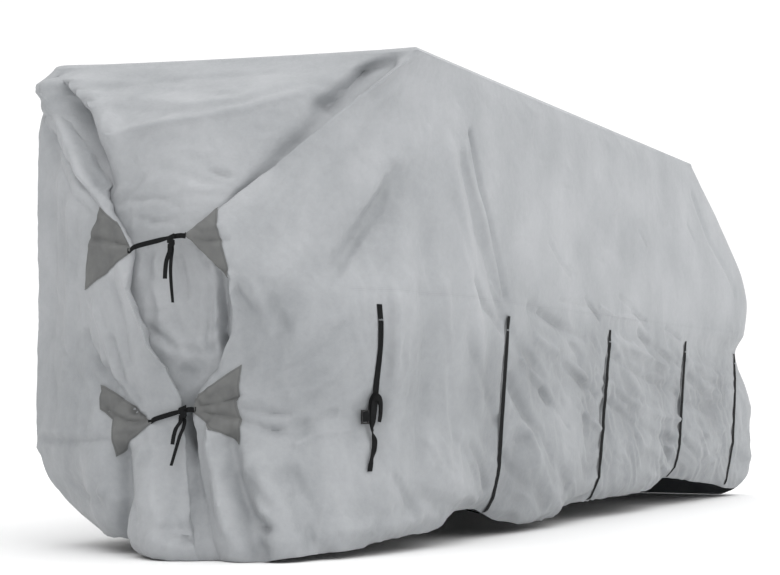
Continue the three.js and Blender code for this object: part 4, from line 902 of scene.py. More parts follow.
def placed(name, mesh):
    mesh.shade_smooth()
    mesh.update()
    piece = bpy.data.objects.new(name, mesh)
    bpy.context.scene.collection.objects.link(piece)
    return piece


def dressed(piece, material, slot, *nodes):
    piece.data.materials.append(material)
    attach(piece, "root")
    if nodes:
        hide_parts(*nodes)
    return piece


# A cut edge stays crisp: its rim is split from the faces, so that their shading doesn't run over it
def thicken(piece, thickness, offset):
    solid = piece.modifiers.new("thickness", "SOLIDIFY")
    solid.thickness = thickness
    solid.offset = offset
    rim = piece.modifiers.new("rim", "EDGE_SPLIT")
    rim.split_angle = math.radians(70)
    return piece


# Panels: each maker's piece of cloth, by its columns and levels and the spacing of its mesh
panels = {
    "near_side_lower": {"columns": (0, sideEnd), "levels": (0, 1.5), "spacing": 0.0150, "flat": (7.0, 1.55)},
    "near_side_upper": {"columns": (0, sideEnd), "levels": (1.5, 2.897), "spacing": 0.0150, "flat": (7.3, 1.5)},
    "gathered_end": {"columns": (sideEnd, lapEnd), "levels": (0, 2.897), "spacing": 0.0160, "closer": 0.9,
                     "flat": (3.6, 3.2)},
    "far_side_lower": {"columns": (lapEnd, farEnd), "levels": (0, 1.5), "spacing": 0.0240, "flat": (7.5, 1.55)},
    "far_side_upper": {"columns": (lapEnd, farEnd), "levels": (1.5, 2.897), "spacing": 0.0240, "flat": (7.4, 1.5)},
    "sloping_end": {"columns": (farEnd, allRound), "levels": (0, 2.897), "spacing": 0.0240, "flat": (3.4, 3.3)},
}


# Crumples: soft swells and sharper creases between them, drawn out along the way that the cloth is pulled:
# heights, sizes across and along that way, and seeds
crumples = {
    "soft": {"height": 0.012, "across": 0.30, "along": 0.80, "seed": 3.1},
    "sharp": {"height": 0.0115, "across": 0.130, "along": 0.42, "seed": 17.7},
    "fine": {"height": 0.0040, "across": 0.065, "along": 0.100, "seed": 41.3},
}
strapPull = {"lean": 1.30, "top": 1.6, "low": 1.1, "start": 0.9, "over": 0.8, "widen": 0.5, "wideFrom": 0.2}
stray = {"cell": 0.45, "reach": 0.16}
swagCrumple = {"in": 2, "over": 1.5, "start": 1.7, "rise": 0.3}
noise.seed_set(5)  # the stray is drawn from it, the same on each run

# How slack the cloth is: taut high on the near side, slack low down, on the gathered end and beside the straps
slack = {"least": 0.22, "most": 0.78, "gathered": 0.85, "pulled": 0.6}
slackRuns = {"low": (0.9, 0.8), "gathered": (-0.1, 0.6), "pulled": (1.0, 1.5)}


def lowShare(z):
    return 1 - fade(z, *slackRuns["low"])


def slackness(point):
    low, along = lowShare(point[:, 2]), point[:, 0] - cover["cornerX"]
    gathered = 1 - fade(along, *slackRuns["gathered"])
    pulled = low * fade(along, *slackRuns["pulled"])
    return slack["least"] + slack["most"] * np.maximum(low, slack["gathered"] * gathered) + slack["pulled"] * pulled


def noiseAt(spots, ridged):
    values = np.array([noise.noise(Vector(spot)) for spot in spots])
    return 0.45 - 1.7 * np.abs(values) if ridged else values


# On the swag the crumples lie level. On the near side they are wider, and lean where the straps pull.
def crumpleAt(point, column):
    along, z = point[:, 0] - cover["cornerX"], point[:, 2]
    level = fade(column - rightEdge, swagCrumple["in"], swagCrumple["over"])
    level *= easing((leftEdge - swagCrumple["in"] - column) / swagCrumple["over"])
    level *= fade(z, swagCrumple["start"], swagCrumple["rise"])
    pulled = fade(along, strapPull["start"], strapPull["over"])
    pulled *= 1 - fade(z, strapPull["low"], strapPull["top"] - strapPull["low"])
    wide = 1 - strapPull["widen"] * fade(along, strapPull["wideFrom"], strapPull["over"])
    leaning = (cover["cornerX"] + wide * along) + wide * strapPull["lean"] * pulled * (z - strapPull["top"])
    warp = np.array([noise.noise_vector(Vector(spot)) for spot in point / stray["cell"]]) * stray["reach"]
    leaning = leaning + warp[:, 0]
    point = point + warp
    push = np.zeros(len(point))
    for key, kind in crumples.items():
        size, long = kind["across"], kind["along"]
        upright = np.column_stack([leaning / size, point[:, 1] / size, point[:, 2] / long]) + kind["seed"]
        values = noiseAt(upright, key != "soft")
        flat = level > 0
        if flat.any():
            lying = np.column_stack([point[:, 0] / size, point[:, 1] / long, point[:, 2] / size]) + kind["seed"] + 9
            values[flat] += level[flat] * (noiseAt(lying[flat], key != "soft") - values[flat])
        push += kind["height"] * values
    return push * slackness(point - warp)


# Places between first and last that lie evenly along the cloth, or closer on the swag and its laps
closerRun = {"before": 14, "past": 10, "over": 4}


def spread(measure, first, last, spacing, closer=0):
    fine = np.linspace(first, last, 600)
    run = lengths(measure(fine))
    if closer:
        weight = closer * easing((fine - rightEdge + closerRun["before"]) / closerRun["over"])
        weight = 1 + weight * easing((leftEdge + closerRun["past"] - fine) / closerRun["over"])
        run = np.concatenate([[0], np.cumsum(np.diff(run) * weight[1:])])
        spacing *= run[-1] / lengths(measure(fine))[-1]
    count = max(8, round(run[-1] / spacing))
    return np.interp(np.linspace(0, run[-1], count + 1), run, fine)


# Painted shade: how much darker the cloth is painted low down, on the gathered end and along the sides, and how
# strongly folds and crumples are painted darker in their hollows and lighter on their crests
paintedShadeAmounts = {"end": 0.16, "sides": 0.30, "over": 1.2, "folds": 2.2, "crumples": 9, "deepest": -0.3, "brightest": 0.22}


def sheetPiece(piece, node):
    thicken(piece, cover["thickness"], -1)
    dressed(piece, laminate, "cover_cloth", node)


# Where the cloth hangs calm: under the roof and on the ground, which it doesn't sink into
calm = {"under": 2.78, "over": 0.1, "ground": 0.12, "lowest": 0.0016}
measureAt = {"low": 1.25, "high": 2.1}  # heights at which the columns are spread


def panelPiece(node, panel):
    first, last = panel["columns"]
    height = measureAt["low" if panel["levels"][0] == 0 else "high"]
    columns = spread(lambda c: clothPoint(c, np.full(len(c), height)), first, min(last, lastColumn),
                     panel["spacing"], panel.get("closer", 0))
    levels = spread(lambda z: np.column_stack([z]), *panel["levels"], panel["spacing"])
    c, z = (part.ravel() for part in np.meshgrid(columns[::-1], levels))
    points, normals = clothFace(c, z)
    grounded = fade(points[:, 0] - cover["cornerX"], hemRun["groundFrom"], hemRun["over"])
    grounded *= 1 - easing(points[:, 2] / calm["ground"])
    crumple = crumpleAt(points, c) * (1 - fade(points[:, 2], calm["under"], calm["over"])) * (1 - grounded)
    points += normals * crumple[:, None]
    points[:, 2] = np.maximum(points[:, 2], calm["lowest"])

    # Distance to the side seam or the hem, for the sewing
    ends = [end for end in panel["levels"] if end < 2]
    edge = np.min([np.abs(levels - end) for end in ends], axis=0)[:, None] + 0 * columns[None, :]
    # Painted shade low down: darker towards the hem, more along the sides than on the gathered end
    worn = paintedShadeAmounts["end"] + paintedShadeAmounts["sides"] * easing((points[:, 0] - cover["cornerX"]) / paintedShadeAmounts["over"])
    # Painted shade in the hollows of folds and crumples and painted highlight on their crests, held within limits
    reliefShading = np.clip(foldPush(points) * paintedShadeAmounts["folds"] + crumple * paintedShadeAmounts["crumples"], paintedShadeAmounts["deepest"], paintedShadeAmounts["brightest"])
    fold = (reliefShading - worn * lowShare(points[:, 2])).reshape(edge.shape)
    grid = points.reshape(len(levels), len(columns), 3)
    sheetPiece(gridPiece(f"{node}_cloth", grid, edge, fold), node)


for name, panel in panels.items():
    panelPiece(name, panel)


# Roof: a grid drawn out between the four runs of its seam, crowned a little in the middle
# Its last two sizes set how strongly the roof's crumples are painted lighter on their crests and darker in their
# hollows
roof = {"rim": (0, 0.011, 0.023, 0.039, 0.062, 0.095), "spacing": 0.026, "flat": (6.3, 2.6), "crown": 0.0255,
        "wave": 0.5, "waveIn": 0.2, "reliefShading": 6, "reliefShadingMost": 0.2}
unsewn = 0.05  # an edge distance past all sewing


def roofPiece():
    def border(first, last, shares):
        fine = np.linspace(first, last, 400)
        line = roofEdge(np.minimum(fine, lastColumn), seamIn)
        run = lengths(line)
        return np.column_stack([np.interp(shares * run[-1], run, line[:, k]) for k in (0, 1)])

    def shares(length):
        rim = np.array(roof["rim"])
        count = round((length - 2 * rim[-1]) / roof["spacing"])
        inner = np.linspace(rim[-1], length - rim[-1], count)
        return np.concatenate([rim[:-1], inner, (length - rim[:-1])[::-1]]) / length

    u, v = shares(cover["roofLength"]), shares(cover["width"])
    nearLine, farLine = border(rightEdge, 0, u), border(lapEnd, farEnd, u)
    gathered, sloping = border(rightEdge, lapEnd, v), border(allRound, farEnd, v)
    uu, vv = u[None, :, None], v[:, None, None]
    flat = (1 - vv) * nearLine[None] + vv * farLine[None] + (1 - uu) * gathered[:, None] + uu * sloping[:, None]
    flat -= (1 - uu) * (1 - vv) * nearLine[0] + uu * (1 - vv) * nearLine[-1] + (1 - uu) * vv * farLine[0]
    flat -= uu * vv * farLine[-1]
    inX = np.minimum(u, 1 - u)[None, :] * cover["roofLength"] + 0 * v[:, None]
    inY = np.minimum(v, 1 - v)[:, None] * cover["width"] + 0 * u[None, :]
    inward = np.minimum(inX, inY)
    edgeRise = np.sin(np.clip(inward / roof["rim"][3], 0, 1) * math.pi / 2)
    crown = 1 - (1 - np.clip((inward - roof["rim"][3]) / 1.0, 0, 1)) ** 2
    z = cover["roofSeam"] + (cover["roofHeight"] - cover["roofSeam"]) * edgeRise + roof["crown"] * crown
    points = np.dstack([flat, z])
    wave = crumpleAt(points.reshape(-1, 3), np.zeros(z.size)).reshape(z.shape)
    points[..., 2] += wave * roof["wave"] * easing(inward / roof["waveIn"])
    # Painted shading: crests of the crumples painted lighter, hollows painted darker
    fold = np.clip(wave * roof["reliefShading"], -roof["reliefShadingMost"], roof["reliefShadingMost"])
    sheetPiece(gridPiece("roof_cloth", points, inward + unsewn, fold), "roof")


roofPiece()


# Patches: an outline of (across, z) cut on a fine net, laid on the lap it is sewn to
lapColumns = {"right": (rightEdge - 12, rightEdge), "left": (leftEdge, leftEdge + 8)}
patches = {
    "patch_upper_left": {"lap": "left", "outline": [
        (1.380, 1.715), (1.480, 1.850), (1.670, 1.985), (1.735, 1.840), (1.790, 1.510), (1.600, 1.590)]},
    "patch_upper_right": {"lap": "right", "outline": [
        (1.055, 1.785), (1.085, 1.885), (1.040, 1.905), (0.905, 1.970), (0.835, 1.750), (0.760, 1.545),
        (0.900, 1.640)]},
    "patch_lower_left": {"lap": "left", "outline": [
        (1.290, 0.745), (1.420, 0.830), (1.690, 0.965), (1.680, 0.820), (1.580, 0.760), (1.575, 0.655),
        (1.557, 0.548), (1.480, 0.615), (1.395, 0.665)]},
    "patch_lower_right": {"lap": "right", "outline": [
        (1.050, 0.810), (1.050, 0.860), (0.900, 0.970), (0.750, 1.070), (0.765, 0.880), (0.785, 0.865),
        (0.745, 0.625), (0.900, 0.710)]},
}
patchNet = {"cell": 0.008, "lift": 0.0032, "thickness": 0.0018, "merge": 0.0004, "onCloth": "gathered_end_cloth"}


# The face of the crumpled cloth, and the ways it faces
def settled(column, level):
    points, normals = clothFace(column, level)
    return points + normals * crumpleAt(points, column)[:, None], normals


# The same at places of (across, z) on a lap
def onLap(spots, lap):
    across = spots[:, 0] - cover["width"] / 2
    return settled(*columnWhere((0, 1), across, spots[:, 1], *lapColumns[lap]))


def patchPiece(node, patch):
    outline = np.array(patch["outline"])
    bm = bmesh.new()
    bm.faces.new([bm.verts.new((across, z, 0)) for across, z in patch["outline"]])
    low, high = outline.min(0), outline.max(0)
    for axis in (0, 1):
        for at in np.arange(low[axis] + patchNet["cell"], high[axis], patchNet["cell"]):
            normal = (1, 0, 0) if axis == 0 else (0, 1, 0)
            where = (at, 0, 0) if axis == 0 else (0, at, 0)
            everything = bm.verts[:] + bm.edges[:] + bm.faces[:]
            bmesh.ops.bisect_plane(bm, geom=everything, plane_co=where, plane_no=normal)
    bmesh.ops.triangulate(bm, faces=[face for face in bm.faces if len(face.verts) > 4])
    mesh = meshFrom(node, bm)
    spots = spotsOf(mesh)[:, :2]
    points, normals = onLap(spots, patch["lap"])
    points += normals * patchNet["lift"]
    mesh.vertices.foreach_set("co", (points + shift).ravel())
    addMap(mesh, spots)
    closed = np.column_stack([np.vstack([outline, outline[:1]]), np.zeros(len(outline) + 1)])
    rim = away(np.column_stack([spots, 0 * spots[:, 0]]), closed)
    mesh.attributes.new("edge", "FLOAT", "POINT").data.foreach_set("value", rim.astype(np.float32))
    bm = bmesh.new()
    bm.from_mesh(mesh)
    bmesh.ops.remove_doubles(bm, verts=bm.verts[:], dist=patchNet["merge"])
    bmesh.ops.dissolve_degenerate(bm, edges=bm.edges[:], dist=patchNet["merge"])
    outside = Vector((-1, 0, 0))
    if sum(face.normal.dot(outside) * face.calc_area() for face in bm.faces) < 0:
        bmesh.ops.reverse_faces(bm, faces=bm.faces[:])
    bm.to_mesh(mesh)
    bm.free()
    piece = thicken(placed(f"{node}_cloth", mesh), patchNet["thickness"], 1)
    dressed(piece, oxford, "patch_cloth", node)


for name, patch in patches.items():
    patchPiece(name, patch)


# Webbing: a band laid through sections, each a middle, the way of its width and its width
band = {"thickness": 0.0018, "across": 5}


def bandRows(middles, wides, widths):
    shares = np.linspace(-0.5, 0.5, band["across"])
    wides = wides / np.linalg.norm(wides, axis=1, keepdims=True)
    return middles[:, None] + wides[:, None] * (np.asarray(widths)[:, None] * shares)[..., None]


# A smooth run through given points, in steps of about the given length
def smoothRun(points, step=0.008):
    points = np.asarray(points, float)
    ends = np.vstack([2 * points[0] - points[1], points, 2 * points[-1] - points[-2]])
    run = []
    for k in range(len(points) - 1):
        a, b, c, d = ends[k:k + 4]
        count = max(2, round(np.linalg.norm(c[:3] - b[:3]) / step))
        t = np.linspace(0, 1, count, endpoint=False)[:, None]
        bend, twist = 2 * a - 5 * b + 4 * c - d, 3 * b - a - 3 * c + d
        run.append(0.5 * (2 * b + (c - a) * t + bend * t ** 2 + twist * t ** 3))
    return np.vstack(run + [points[-1:]])


def bandPiece(name, rows, *nodes):
    return dressed(thicken(gridPiece(name, rows), band["thickness"], 0), webbing, "webbing", *nodes)


# Several runs of webbing as one piece, named after its node
def bandsPiece(node, runs, merged=False):
    bm = bmesh.new()
    for rows in runs:
        part = gridPiece("run", rows)
        bm.from_mesh(part.data)
        bpy.data.objects.remove(part)
    if merged:
        bmesh.ops.remove_doubles(bm, verts=bm.verts[:], dist=0.0001)
    piece = placed(f"{node}_webbing", meshFrom(node, bm))
    return dressed(thicken(piece, band["thickness"], 0), webbing, "webbing", node)


# A limp band that hangs: this prints the length of its path
def hangingCord(piece, path, diameter, end="bare", **more):
    length = lengths(path)[-1]
    print(piece.name, "length", round(length, 3))


# Straps down both long sides and under the cover, by their distance past the near roof corner
straps = {"places": (1.3, 3.3, 5.29, 6.9), "tops": (1.41, 1.397, 1.375, 1.310), "turn": 0.20, "width": 0.040,
          "step": 0.014, "lift": 0.0016, "followed": 0.2, "tight": 0.8, "beside": (0.04, 0.08), "slope": 0.45,
          "aboveHem": 0.006, "dropUnderHem": 0.009, "dropIn": 0.03, "levelIn": 0.05, "rise": 0.045, "reach": 0.26,
          "underRows": 58}


# The tight line over a run of crests
def tight(heights, reach):
    kept = []
    for spot in zip(heights[::-1], reach[::-1]):
        while len(kept) > 1 and ((kept[-1][0] - kept[-2][0]) * (spot[1] - kept[-2][1])
                                 >= (kept[-1][1] - kept[-2][1]) * (spot[0] - kept[-2][0])):
            kept.pop()
        kept.append(spot)
    line = np.array(kept)
    return np.interp(heights, line[:, 0], line[:, 1])


# A strap down one side: it bridges the hollows, and rides over the ridges in it and beside it
def strapDown(x, top, first, last):
    offsets = np.linspace(-0.5, 0.5, band["across"]) * straps["width"]
    hemColumn, _ = columnWhere((1, 0), np.array([x]), np.array([0.3]), first, last)
    hem = hemHeight(section(hemColumn, np.zeros(1)))[0]
    heights = np.arange(top, hem + straps["aboveHem"], -straps["step"])
    z, offset = (part.ravel() for part in np.meshgrid(heights, offsets, indexing="ij"))
    column, level = columnWhere((1, 0), x + offset, z, first, last)
    points = settled(column, level)[0].reshape(len(heights), band["across"], 3)
    outside = -1 if first == 0 else 1
    reach = (points[..., 1] * outside).max(1)
    for aside in straps["beside"]:
        column, level = columnWhere((1, 0), np.full(len(heights), x - aside), heights, first, last)
        reach = np.maximum(reach, settled(column, level)[0][:, 1] * outside - straps["slope"] * aside)
    turn = straps["turn"] * np.sin(math.pi * np.linspace(0, 1, len(heights))) ** 0.7
    reach = straps["followed"] * reach + straps["tight"] * tight(heights, reach) + straps["lift"]
    reach += turn * straps["width"] / 4
    points[..., 1] = outside * (reach[:, None] + turn[:, None] * offsets)
    points[..., 0] = x + offsets
    return points


# The stretch under the cover, from hem to hem
def strapUnder(near, far):
    start, end = near[-1], far[-1]
    lowNear, lowFar = (side[:, 2].mean() - straps["aboveHem"] for side in (start, end))
    span = end[:, 1].mean() - start[:, 1].mean()
    run = []
    for share in np.linspace(0, 1, straps["underRows"] + 2)[1:-1]:
        middle = start + (end - start) * share
        fromEdge = min(share, 1 - share) * span
        hem = lowNear + (lowFar - lowNear) * share
        drop = straps["dropUnderHem"] * math.exp(-fromEdge / straps["dropIn"])
        middle[:, 2] = hem - drop + straps["rise"] * float(easing(fromEdge / straps["reach"]))
        middle[:, 2] += (start[:, 2] - start[:, 2].mean()) * math.exp(-fromEdge / straps["levelIn"])
        run.append(middle)
    return np.array(run)


strapRuns = {}
for at, (along, top) in enumerate(zip(straps["places"], straps["tops"]), 1):
    x = cover["cornerX"] + along
    nearRun, farRun = strapDown(x, top, 0, sideEnd), strapDown(x, top, lapEnd, farEnd)
    strapRuns[f"side_strap_{at}_near"] = (nearRun, (0, -1, 0))
    strapRuns[f"side_strap_{at}_far"] = (farRun, (0, 1, 0))
    rows = np.concatenate([nearRun, strapUnder(nearRun, farRun), farRun[::-1]])
    bandPiece(f"side_strap_{at}_webbing", rows[:, ::-1], f"side_strap_{at}")
print("straps laid")


# Ties: webbing between two patch tips, its knot, and two free tails, as routes of (out, across, z)
ties = {
    "upper_tie": {
        "sewn": [[(1.032, 1.789), (1.046, 1.787)], [(1.392, 1.716), (1.416, 1.715)]],
        "middle": [(0.894, 1.070, 1.783), (0.884, 1.200, 1.763), (0.878, 1.350, 1.736)],
        "knot": (0.904, 1.104, 1.722),
        "short": [(0.909, 1.108, 1.7217), (0.909, 1.108, 1.702), (0.896, 1.136, 1.650), (0.886, 1.150, 1.600),
                  (0.879, 1.157, 1.548)],
        "long": [(0.900, 1.098, 1.7217), (0.900, 1.098, 1.702), (0.898, 1.106, 1.650), (0.886, 1.116, 1.590),
                 (0.874, 1.119, 1.520), (0.866, 1.117, 1.455), (0.862, 1.115, 1.415)],
    },
    "lower_tie": {
        "sewn": [[(1.020, 0.820), (1.032, 0.818)], [(1.296, 0.748), (1.316, 0.746)]],
        "middle": [(0.780, 1.060, 0.820), (0.797, 1.170, 0.793), (0.800, 1.270, 0.765)],
        "knot": (0.793, 1.090, 0.772),
        "short": [(0.799, 1.098, 0.7717), (0.799, 1.099, 0.752), (0.830, 1.108, 0.715), (0.850, 1.110, 0.672),
                  (0.866, 1.108, 0.628)],
        "long": [(0.788, 1.080, 0.7717), (0.788, 1.078, 0.752), (0.817, 1.070, 0.715), (0.850, 1.070, 0.675),
                 (0.872, 1.080, 0.605), (0.886, 1.088, 0.555), (0.898, 1.095, 0.512)],
    },
}
tieSizes = {"width": 0.029, "short": (0.029, 0.027), "long": (0.024, 0.024), "lift": 0.0042, "lean": 0.15,
            "pinch": 0.25, "pinchAt": 0.3, "pinchOver": 0.08, "turns": {"short": 0.3, "long": 0.8}}


def tailPiece(name, route, width, turn):
    path = smoothRun(routePoints(route) + shift)
    run = lengths(path)
    angle = turn * run / run[-1]
    wides = np.column_stack([0.35 * np.sin(angle) + 0 * angle, np.cos(angle), 0.06 * np.sin(3 * angle)])
    rows = bandRows(path - shift, wides, np.full(len(path), width))
    hangingCord(bandPiece(f"{name}_webbing", rows[::-1], name), path, width)


# A knot: webbing wound round the tie and twice round its own tails
knot = {"halfWide": 0.025, "depth": 0.024, "width": 0.028, "flat": 0.42, "twist": 0.25,
        "turns": ((0.054, 0.35, 0.90), (0.032, -0.28, 1.0), (0.010, 0.20, 0.85))}  # height, lean and size


def knotPiece(name, foot, right, outward):
    up = np.array([0, 0, 1.0])
    loops = []
    for height, lean, size in knot["turns"]:
        angle = np.linspace(0, 2 * math.pi, 25)[:, None]
        ring = (right * np.cos(angle) * knot["halfWide"] * size
                + outward * (np.sin(angle) * knot["flat"] * knot["depth"] * size + knot["depth"] / 2)
                + up * (height + lean * knot["halfWide"] * np.cos(angle)))
        wides = up + 0 * ring + right * knot["twist"] * np.sin(angle)
        loops.append(bandRows(foot + ring, wides, np.full(len(angle), knot["width"] * size)))
    bandsPiece(name, loops, merged=True)


for at, (name, tie) in enumerate(ties.items()):
    ends = []
    for (start, end), lap in zip(tie["sewn"], ("right", "left")):
        points, normals = onLap(np.linspace(start, end, 4), lap)
        ends.append(points + normals * tieSizes["lift"])
    path = smoothRun(np.vstack([ends[0], routePoints(tie["middle"]), ends[1]]), 0.010)
    run = lengths(path)
    lean = tieSizes["lean"] * np.sin(2 * math.pi * run / run[-1])
    wides = np.column_stack([lean, 0 * lean, np.ones(len(run))])
    pinch = np.exp(-((run / run[-1] - tieSizes["pinchAt"]) / tieSizes["pinchOver"]) ** 2)
    widths = tieSizes["width"] * (1 - tieSizes["pinch"] * pinch)
    bandPiece(f"{name}_webbing_band", bandRows(path, wides, widths), f"{name}_webbing")
    middle = routePoints(tie["middle"])
    right = middle[0] - middle[1]
    right[2] = 0
    right /= np.linalg.norm(right)
    outward = np.cross(right, (0, 0, 1))
    foot = routePoints([tie["knot"]])[0]
    knotPiece(f"{name}_knot", foot - outward * knot["depth"] / 2, right, outward)
    for tail, turn in tieSizes["turns"].items():
        tailPiece(f"{name}_{tail}_tail", tie[tail], tieSizes[tail][at], turn)
print("ties made")


# Loose strap near the gathered end: it hangs down the cloth to a folded hank beside its buckle, and ends in a tail
loose = {"out": 0.185, "across": 0.165, "top": 1.415, "hankTop": 0.905, "turn": 0.47, "width": 0.040, "tail": 0.032,
         "lift": 0.0016, "hankDepth": 0.026, "lean": (-0.022, 0.006), "aboveHank": 0.05, "followed": 0.35,
         "tight": 0.65, "joins": (0.35, 0.7, 1.0), "joinUp": 0.004, "joinDepth": 0.006,
         "through": [(-0.003, -0.012, 0.010, 0.036), (-0.018, -0.060, 0.011, 0.034), (-0.028, -0.120, 0.011, 0.034),
                     (-0.028, -0.198, 0.010, 0.016)]}  # right, up, depth and width, in the hank
looseIn = np.array([math.sin(loose["turn"]), math.cos(loose["turn"]), 0])
looseRight = np.array([math.cos(loose["turn"]), -math.sin(loose["turn"]), 0])
looseFoot = np.append(plan(loose["out"], loose["across"]), 0)
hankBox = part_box("loose_strap_hank")


def looseFace(right, z):
    value = looseFoot[:2] @ looseRight[:2] + right
    return settled(*columnWhere(looseRight[:2], value, z, columnsOf["side"] + 2, sideEnd))


# The hank hangs flat, and its back lies where the frame has it. Its places are right, up and depth.
hankMiddle = np.array([(a + b) / 2 for a, b in zip(*hankBox)]) - shift
hankLift = -(hankMiddle - looseFoot) @ looseIn - loose["hankDepth"] / 2


def hankAt(right, up, depth):
    point = looseFoot + looseRight * right - looseIn * (hankLift + depth)
    point[2] = loose["hankTop"] + up
    return point


def looseStrap():
    heights = np.arange(loose["top"], loose["hankTop"] + loose["aboveHank"], -straps["step"])
    offsets = np.linspace(-0.5, 0.5, band["across"]) * loose["width"]
    z, offset = (part.ravel() for part in np.meshgrid(heights, offsets, indexing="ij"))
    share = (loose["top"] - z) / (loose["top"] - loose["hankTop"])
    points, normals = looseFace(offset + loose["lean"][0] * (1 - share) + loose["lean"][1] * share, z)
    run = (points + normals * loose["lift"]).reshape(len(heights), band["across"], 3)
    reach = (run @ -looseIn).max(1)
    out = loose["followed"] * reach + loose["tight"] * tight(heights, reach) - (run @ -looseIn).mean(1)
    run -= looseIn * out[:, None, None]
    join = np.array([hankAt(at, loose["joinUp"], loose["joinDepth"]) for at in offsets])
    ends = [run[-1] * (1 - share) + share * join for share in loose["joins"]]
    spots = smoothRun(loose["through"], 0.010)
    through = np.array([hankAt(*spot[:3]) for spot in spots])
    wides = np.cross(np.gradient(through, axis=0), looseIn)
    wides *= np.sign(wides @ looseRight)[:, None]
    strapRuns["loose_strap"] = (run, -looseIn)
    rows = np.concatenate([run, ends, bandRows(through, wides, spots[:, 3])])
    piece = bandPiece("loose_strap_webbing", rows[:, ::-1], "loose_strap")
    path = rows[:, band["across"] // 2] + shift
    return piece, path


# Folded webbing: two lobes hanging from the cinch, a leg on the right, an end over it, and an end through the
# buckle, as places and widths
hankFolds = [
    ([(-0.004, -0.004, 0.006), (-0.020, -0.035, 0.006), (-0.029, -0.090, 0.006), (-0.029, -0.150, 0.006),
      (-0.028, -0.197, 0.007)], (0.044, 0.050, 0.048, 0.036, 0.016)),
    ([(0.002, -0.006, 0.014), (-0.014, -0.050, 0.016), (-0.021, -0.105, 0.017), (-0.024, -0.155, 0.015),
      (-0.028, -0.190, 0.010)], (0.040, 0.044, 0.040, 0.030, 0.014)),
    ([(0.004, -0.004, 0.009), (0.022, -0.026, 0.011), (0.031, -0.066, 0.012), (0.030, -0.115, 0.011),
      (0.023, -0.156, 0.010)], (0.034, 0.034, 0.030, 0.028, 0.024)),
    ([(-0.010, -0.001, 0.020), (0.012, -0.018, 0.023), (0.026, -0.050, 0.021), (0.030, -0.100, 0.018)],
     (0.030, 0.034, 0.028, 0.020)),
    ([(-0.034, -0.112, 0.008), (-0.050, -0.118, 0.0115), (-0.066, -0.123, 0.0140), (-0.084, -0.126, 0.0140),
      (-0.098, -0.127, 0.0105), (-0.101, -0.127, 0.004)], (0.046, 0.054, 0.058, 0.058, 0.052, 0.046)),
]
cinch = {"right": 0.021, "aside": 0.001, "up": -0.022, "slant": 0.004, "depth": 0.013, "deep": 0.0115, "width": 0.024}


def hankPiece():
    runs = []
    for route, widths in hankFolds:
        spots = smoothRun(np.column_stack([np.array(route), widths]), 0.006)
        path = np.array([hankAt(*spot[:3]) for spot in spots])
        runs.append(bandRows(path, np.cross(np.gradient(path, axis=0), looseIn), spots[:, 3]))
    angle = np.linspace(0, 2 * math.pi, 25)
    ring = np.array([hankAt(cinch["right"] * math.cos(a) - cinch["aside"], cinch["up"] + cinch["slant"] * math.cos(a),
                            cinch["depth"] + cinch["deep"] * math.sin(a)) for a in angle])
    runs.append(bandRows(ring, np.array([[0, 0, 1.0]] * len(angle)), np.full(len(angle), cinch["width"])))
    return bandsPiece("loose_strap_hank", runs)


# The free tail below the hank: right, up, depth and the turn of its face
looseTail = [(-0.028, -0.1983, 0.012, 0.2), (-0.028, -0.216, 0.014, 0.7), (-0.018, -0.258, 0.020, -0.3),
             (-0.030, -0.315, 0.030, -0.2), (-0.052, -0.358, 0.040, 0.3), (-0.066, -0.392, 0.048, -0.1),
             (-0.076, -0.432, 0.052, -0.1)]


def looseTailPiece():
    spots = smoothRun(looseTail)
    path = np.array([hankAt(*spot[:3]) for spot in spots])
    turned = spots[:, 3:]
    wides = looseRight * np.cos(turned) + looseIn * np.sin(turned)
    piece = bandPiece("loose_strap_tail_webbing", bandRows(path, wides, np.full(len(path), loose["tail"]))[::-1],
                      "loose_strap_tail")
    hangingCord(piece, path + shift, loose["tail"])


strapPiece, strapPath = looseStrap()
fittings = [hankPiece(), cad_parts["loose_strap_buckle"]]
hangingCord(strapPiece, strapPath, loose["width"], "fitting", with_pieces=fittings)
looseTailPiece()
print("loose strap made")


# Bar tacks: rows of pale stitches across the head of each strap
tack = {"below": 0.085, "rows": 3, "rowStep": 0.0035, "stitches": 9, "stitch": (0.0016, 0.0016, 0.0045),
        "from": 0.08, "to": 0.92, "lift": 0.0012}


def tackPiece(name, run, outward):
    outward = np.array(outward)
    bm = bmesh.new()
    for row in range(tack["rows"]):
        at = (tack["below"] + row * tack["rowStep"]) / straps["step"]
        line = run[int(at)] + (run[int(at) + 1] - run[int(at)]) * (at % 1)
        for share in np.linspace(tack["from"], tack["to"], tack["stitches"]):
            spot = line[0] + (line[-1] - line[0]) * share + outward * (band["thickness"] / 2 + tack["lift"])
            ball = bmesh.ops.create_icosphere(bm, subdivisions=1, radius=0.5)["verts"]
            bmesh.ops.scale(bm, verts=ball, vec=tack["stitch"])
            bmesh.ops.translate(bm, verts=ball, vec=Vector(spot + shift))
    dressed(placed(name, meshFrom(name, bm)), thread, "webbing")


for name, (run, outward) in strapRuns.items():
    tackPiece(f"{name}_tack", run, outward)
print("tacks sewn")


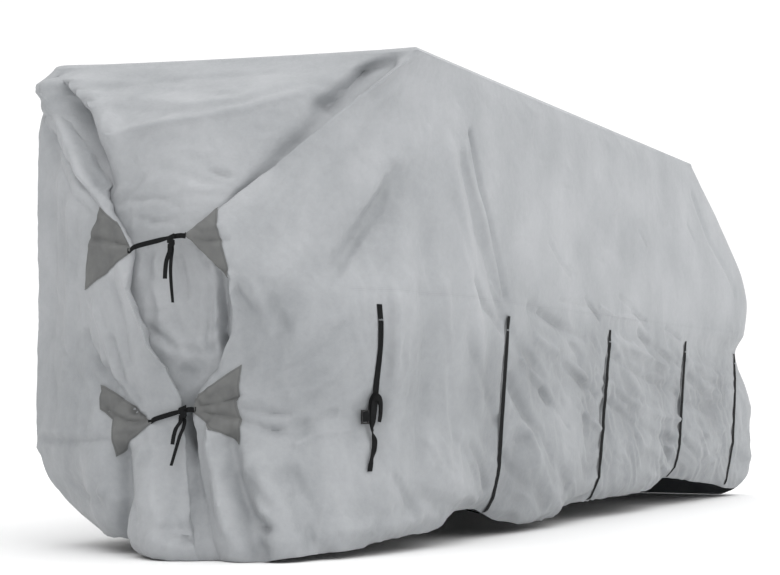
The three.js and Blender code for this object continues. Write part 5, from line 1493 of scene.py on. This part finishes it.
# Floor, sky and lights: a white backdrop ahead, and a sky that is brightest high on the near side
studio = {
    "floor": "#f6f6f6",
    "floorSize": 90,
    "floorRoughness": 0.9,
    "backdrop": 1.08,
    "backdropEdge": (0.86, 0.94),
    "shade": 0.22,
    "glow": 1.92,
    "from": (-0.05, -0.27, 0.96),
    "key": {"place": (6.5, -5.5, 9.5), "aim": (-1.0, 0, 1.2), "size": (2.0, 2.0), "power": 90},
}


def makeFloor():
    bm = bmesh.new()
    bmesh.ops.create_grid(bm, x_segments=1, y_segments=1, size=studio["floorSize"])
    mesh = meshFrom("floor", bm)
    floor = bpy.data.objects.new("floor", mesh)
    bpy.context.scene.collection.objects.link(floor)
    material, _, shader = newMaterial("paleFloor")
    shader.inputs["Base Color"].default_value = linear(studio["floor"])
    shader.inputs["Roughness"].default_value = studio["floorRoughness"]
    mesh.materials.append(material)
    floor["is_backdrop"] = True


def makeSky():
    world = bpy.data.worlds.new("sky")
    world.use_nodes = True
    tree = world.node_tree
    where = node(tree, "ShaderNodeTexCoord")

    def facing(direction, low, high, dim, bright):
        towards = node(tree, "ShaderNodeVectorMath", {"operation": "DOT_PRODUCT", 1: Vector(direction).normalized()},
                       in0=where.outputs["Generated"])
        return node(tree, "ShaderNodeMapRange", {"From Min": low, "From Max": high, "To Min": dim, "To Max": bright},
                    Value=towards.outputs["Value"])

    glow = facing(studio["from"], -0.1, 1.0, studio["shade"], studio["glow"])
    ahead = facing((*view["heading"], 0.06), *studio["backdropEdge"], 0.0, 1.0)
    mixed = node(tree, "ShaderNodeMix", {"data_type": "FLOAT", 3: studio["backdrop"]}, in0=ahead.outputs["Result"],
                 in2=glow.outputs["Result"])
    background = tree.nodes["Background"]
    background.inputs["Color"].default_value = (1, 1, 1, 1)
    tree.links.new(mixed.outputs[0], background.inputs["Strength"])
    bpy.context.scene.world = world


def makeLight(name, place, aim, size, power):
    data = bpy.data.lights.new(name, "AREA")
    data.shape = "RECTANGLE"
    data.size, data.size_y = size
    data.energy = power
    lamp = bpy.data.objects.new(name, data)
    bpy.context.scene.collection.objects.link(lamp)
    lamp.location = place
    lamp.rotation_euler = (Vector(aim) - Vector(place)).to_track_quat("-Z", "Y").to_euler()


makeFloor()
makeSky()
makeLight("key", **studio["key"])
bpy.context.scene.view_settings.view_transform = "Standard"

visualBox = [list(corner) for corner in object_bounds()]
print("visual box", visualBox)
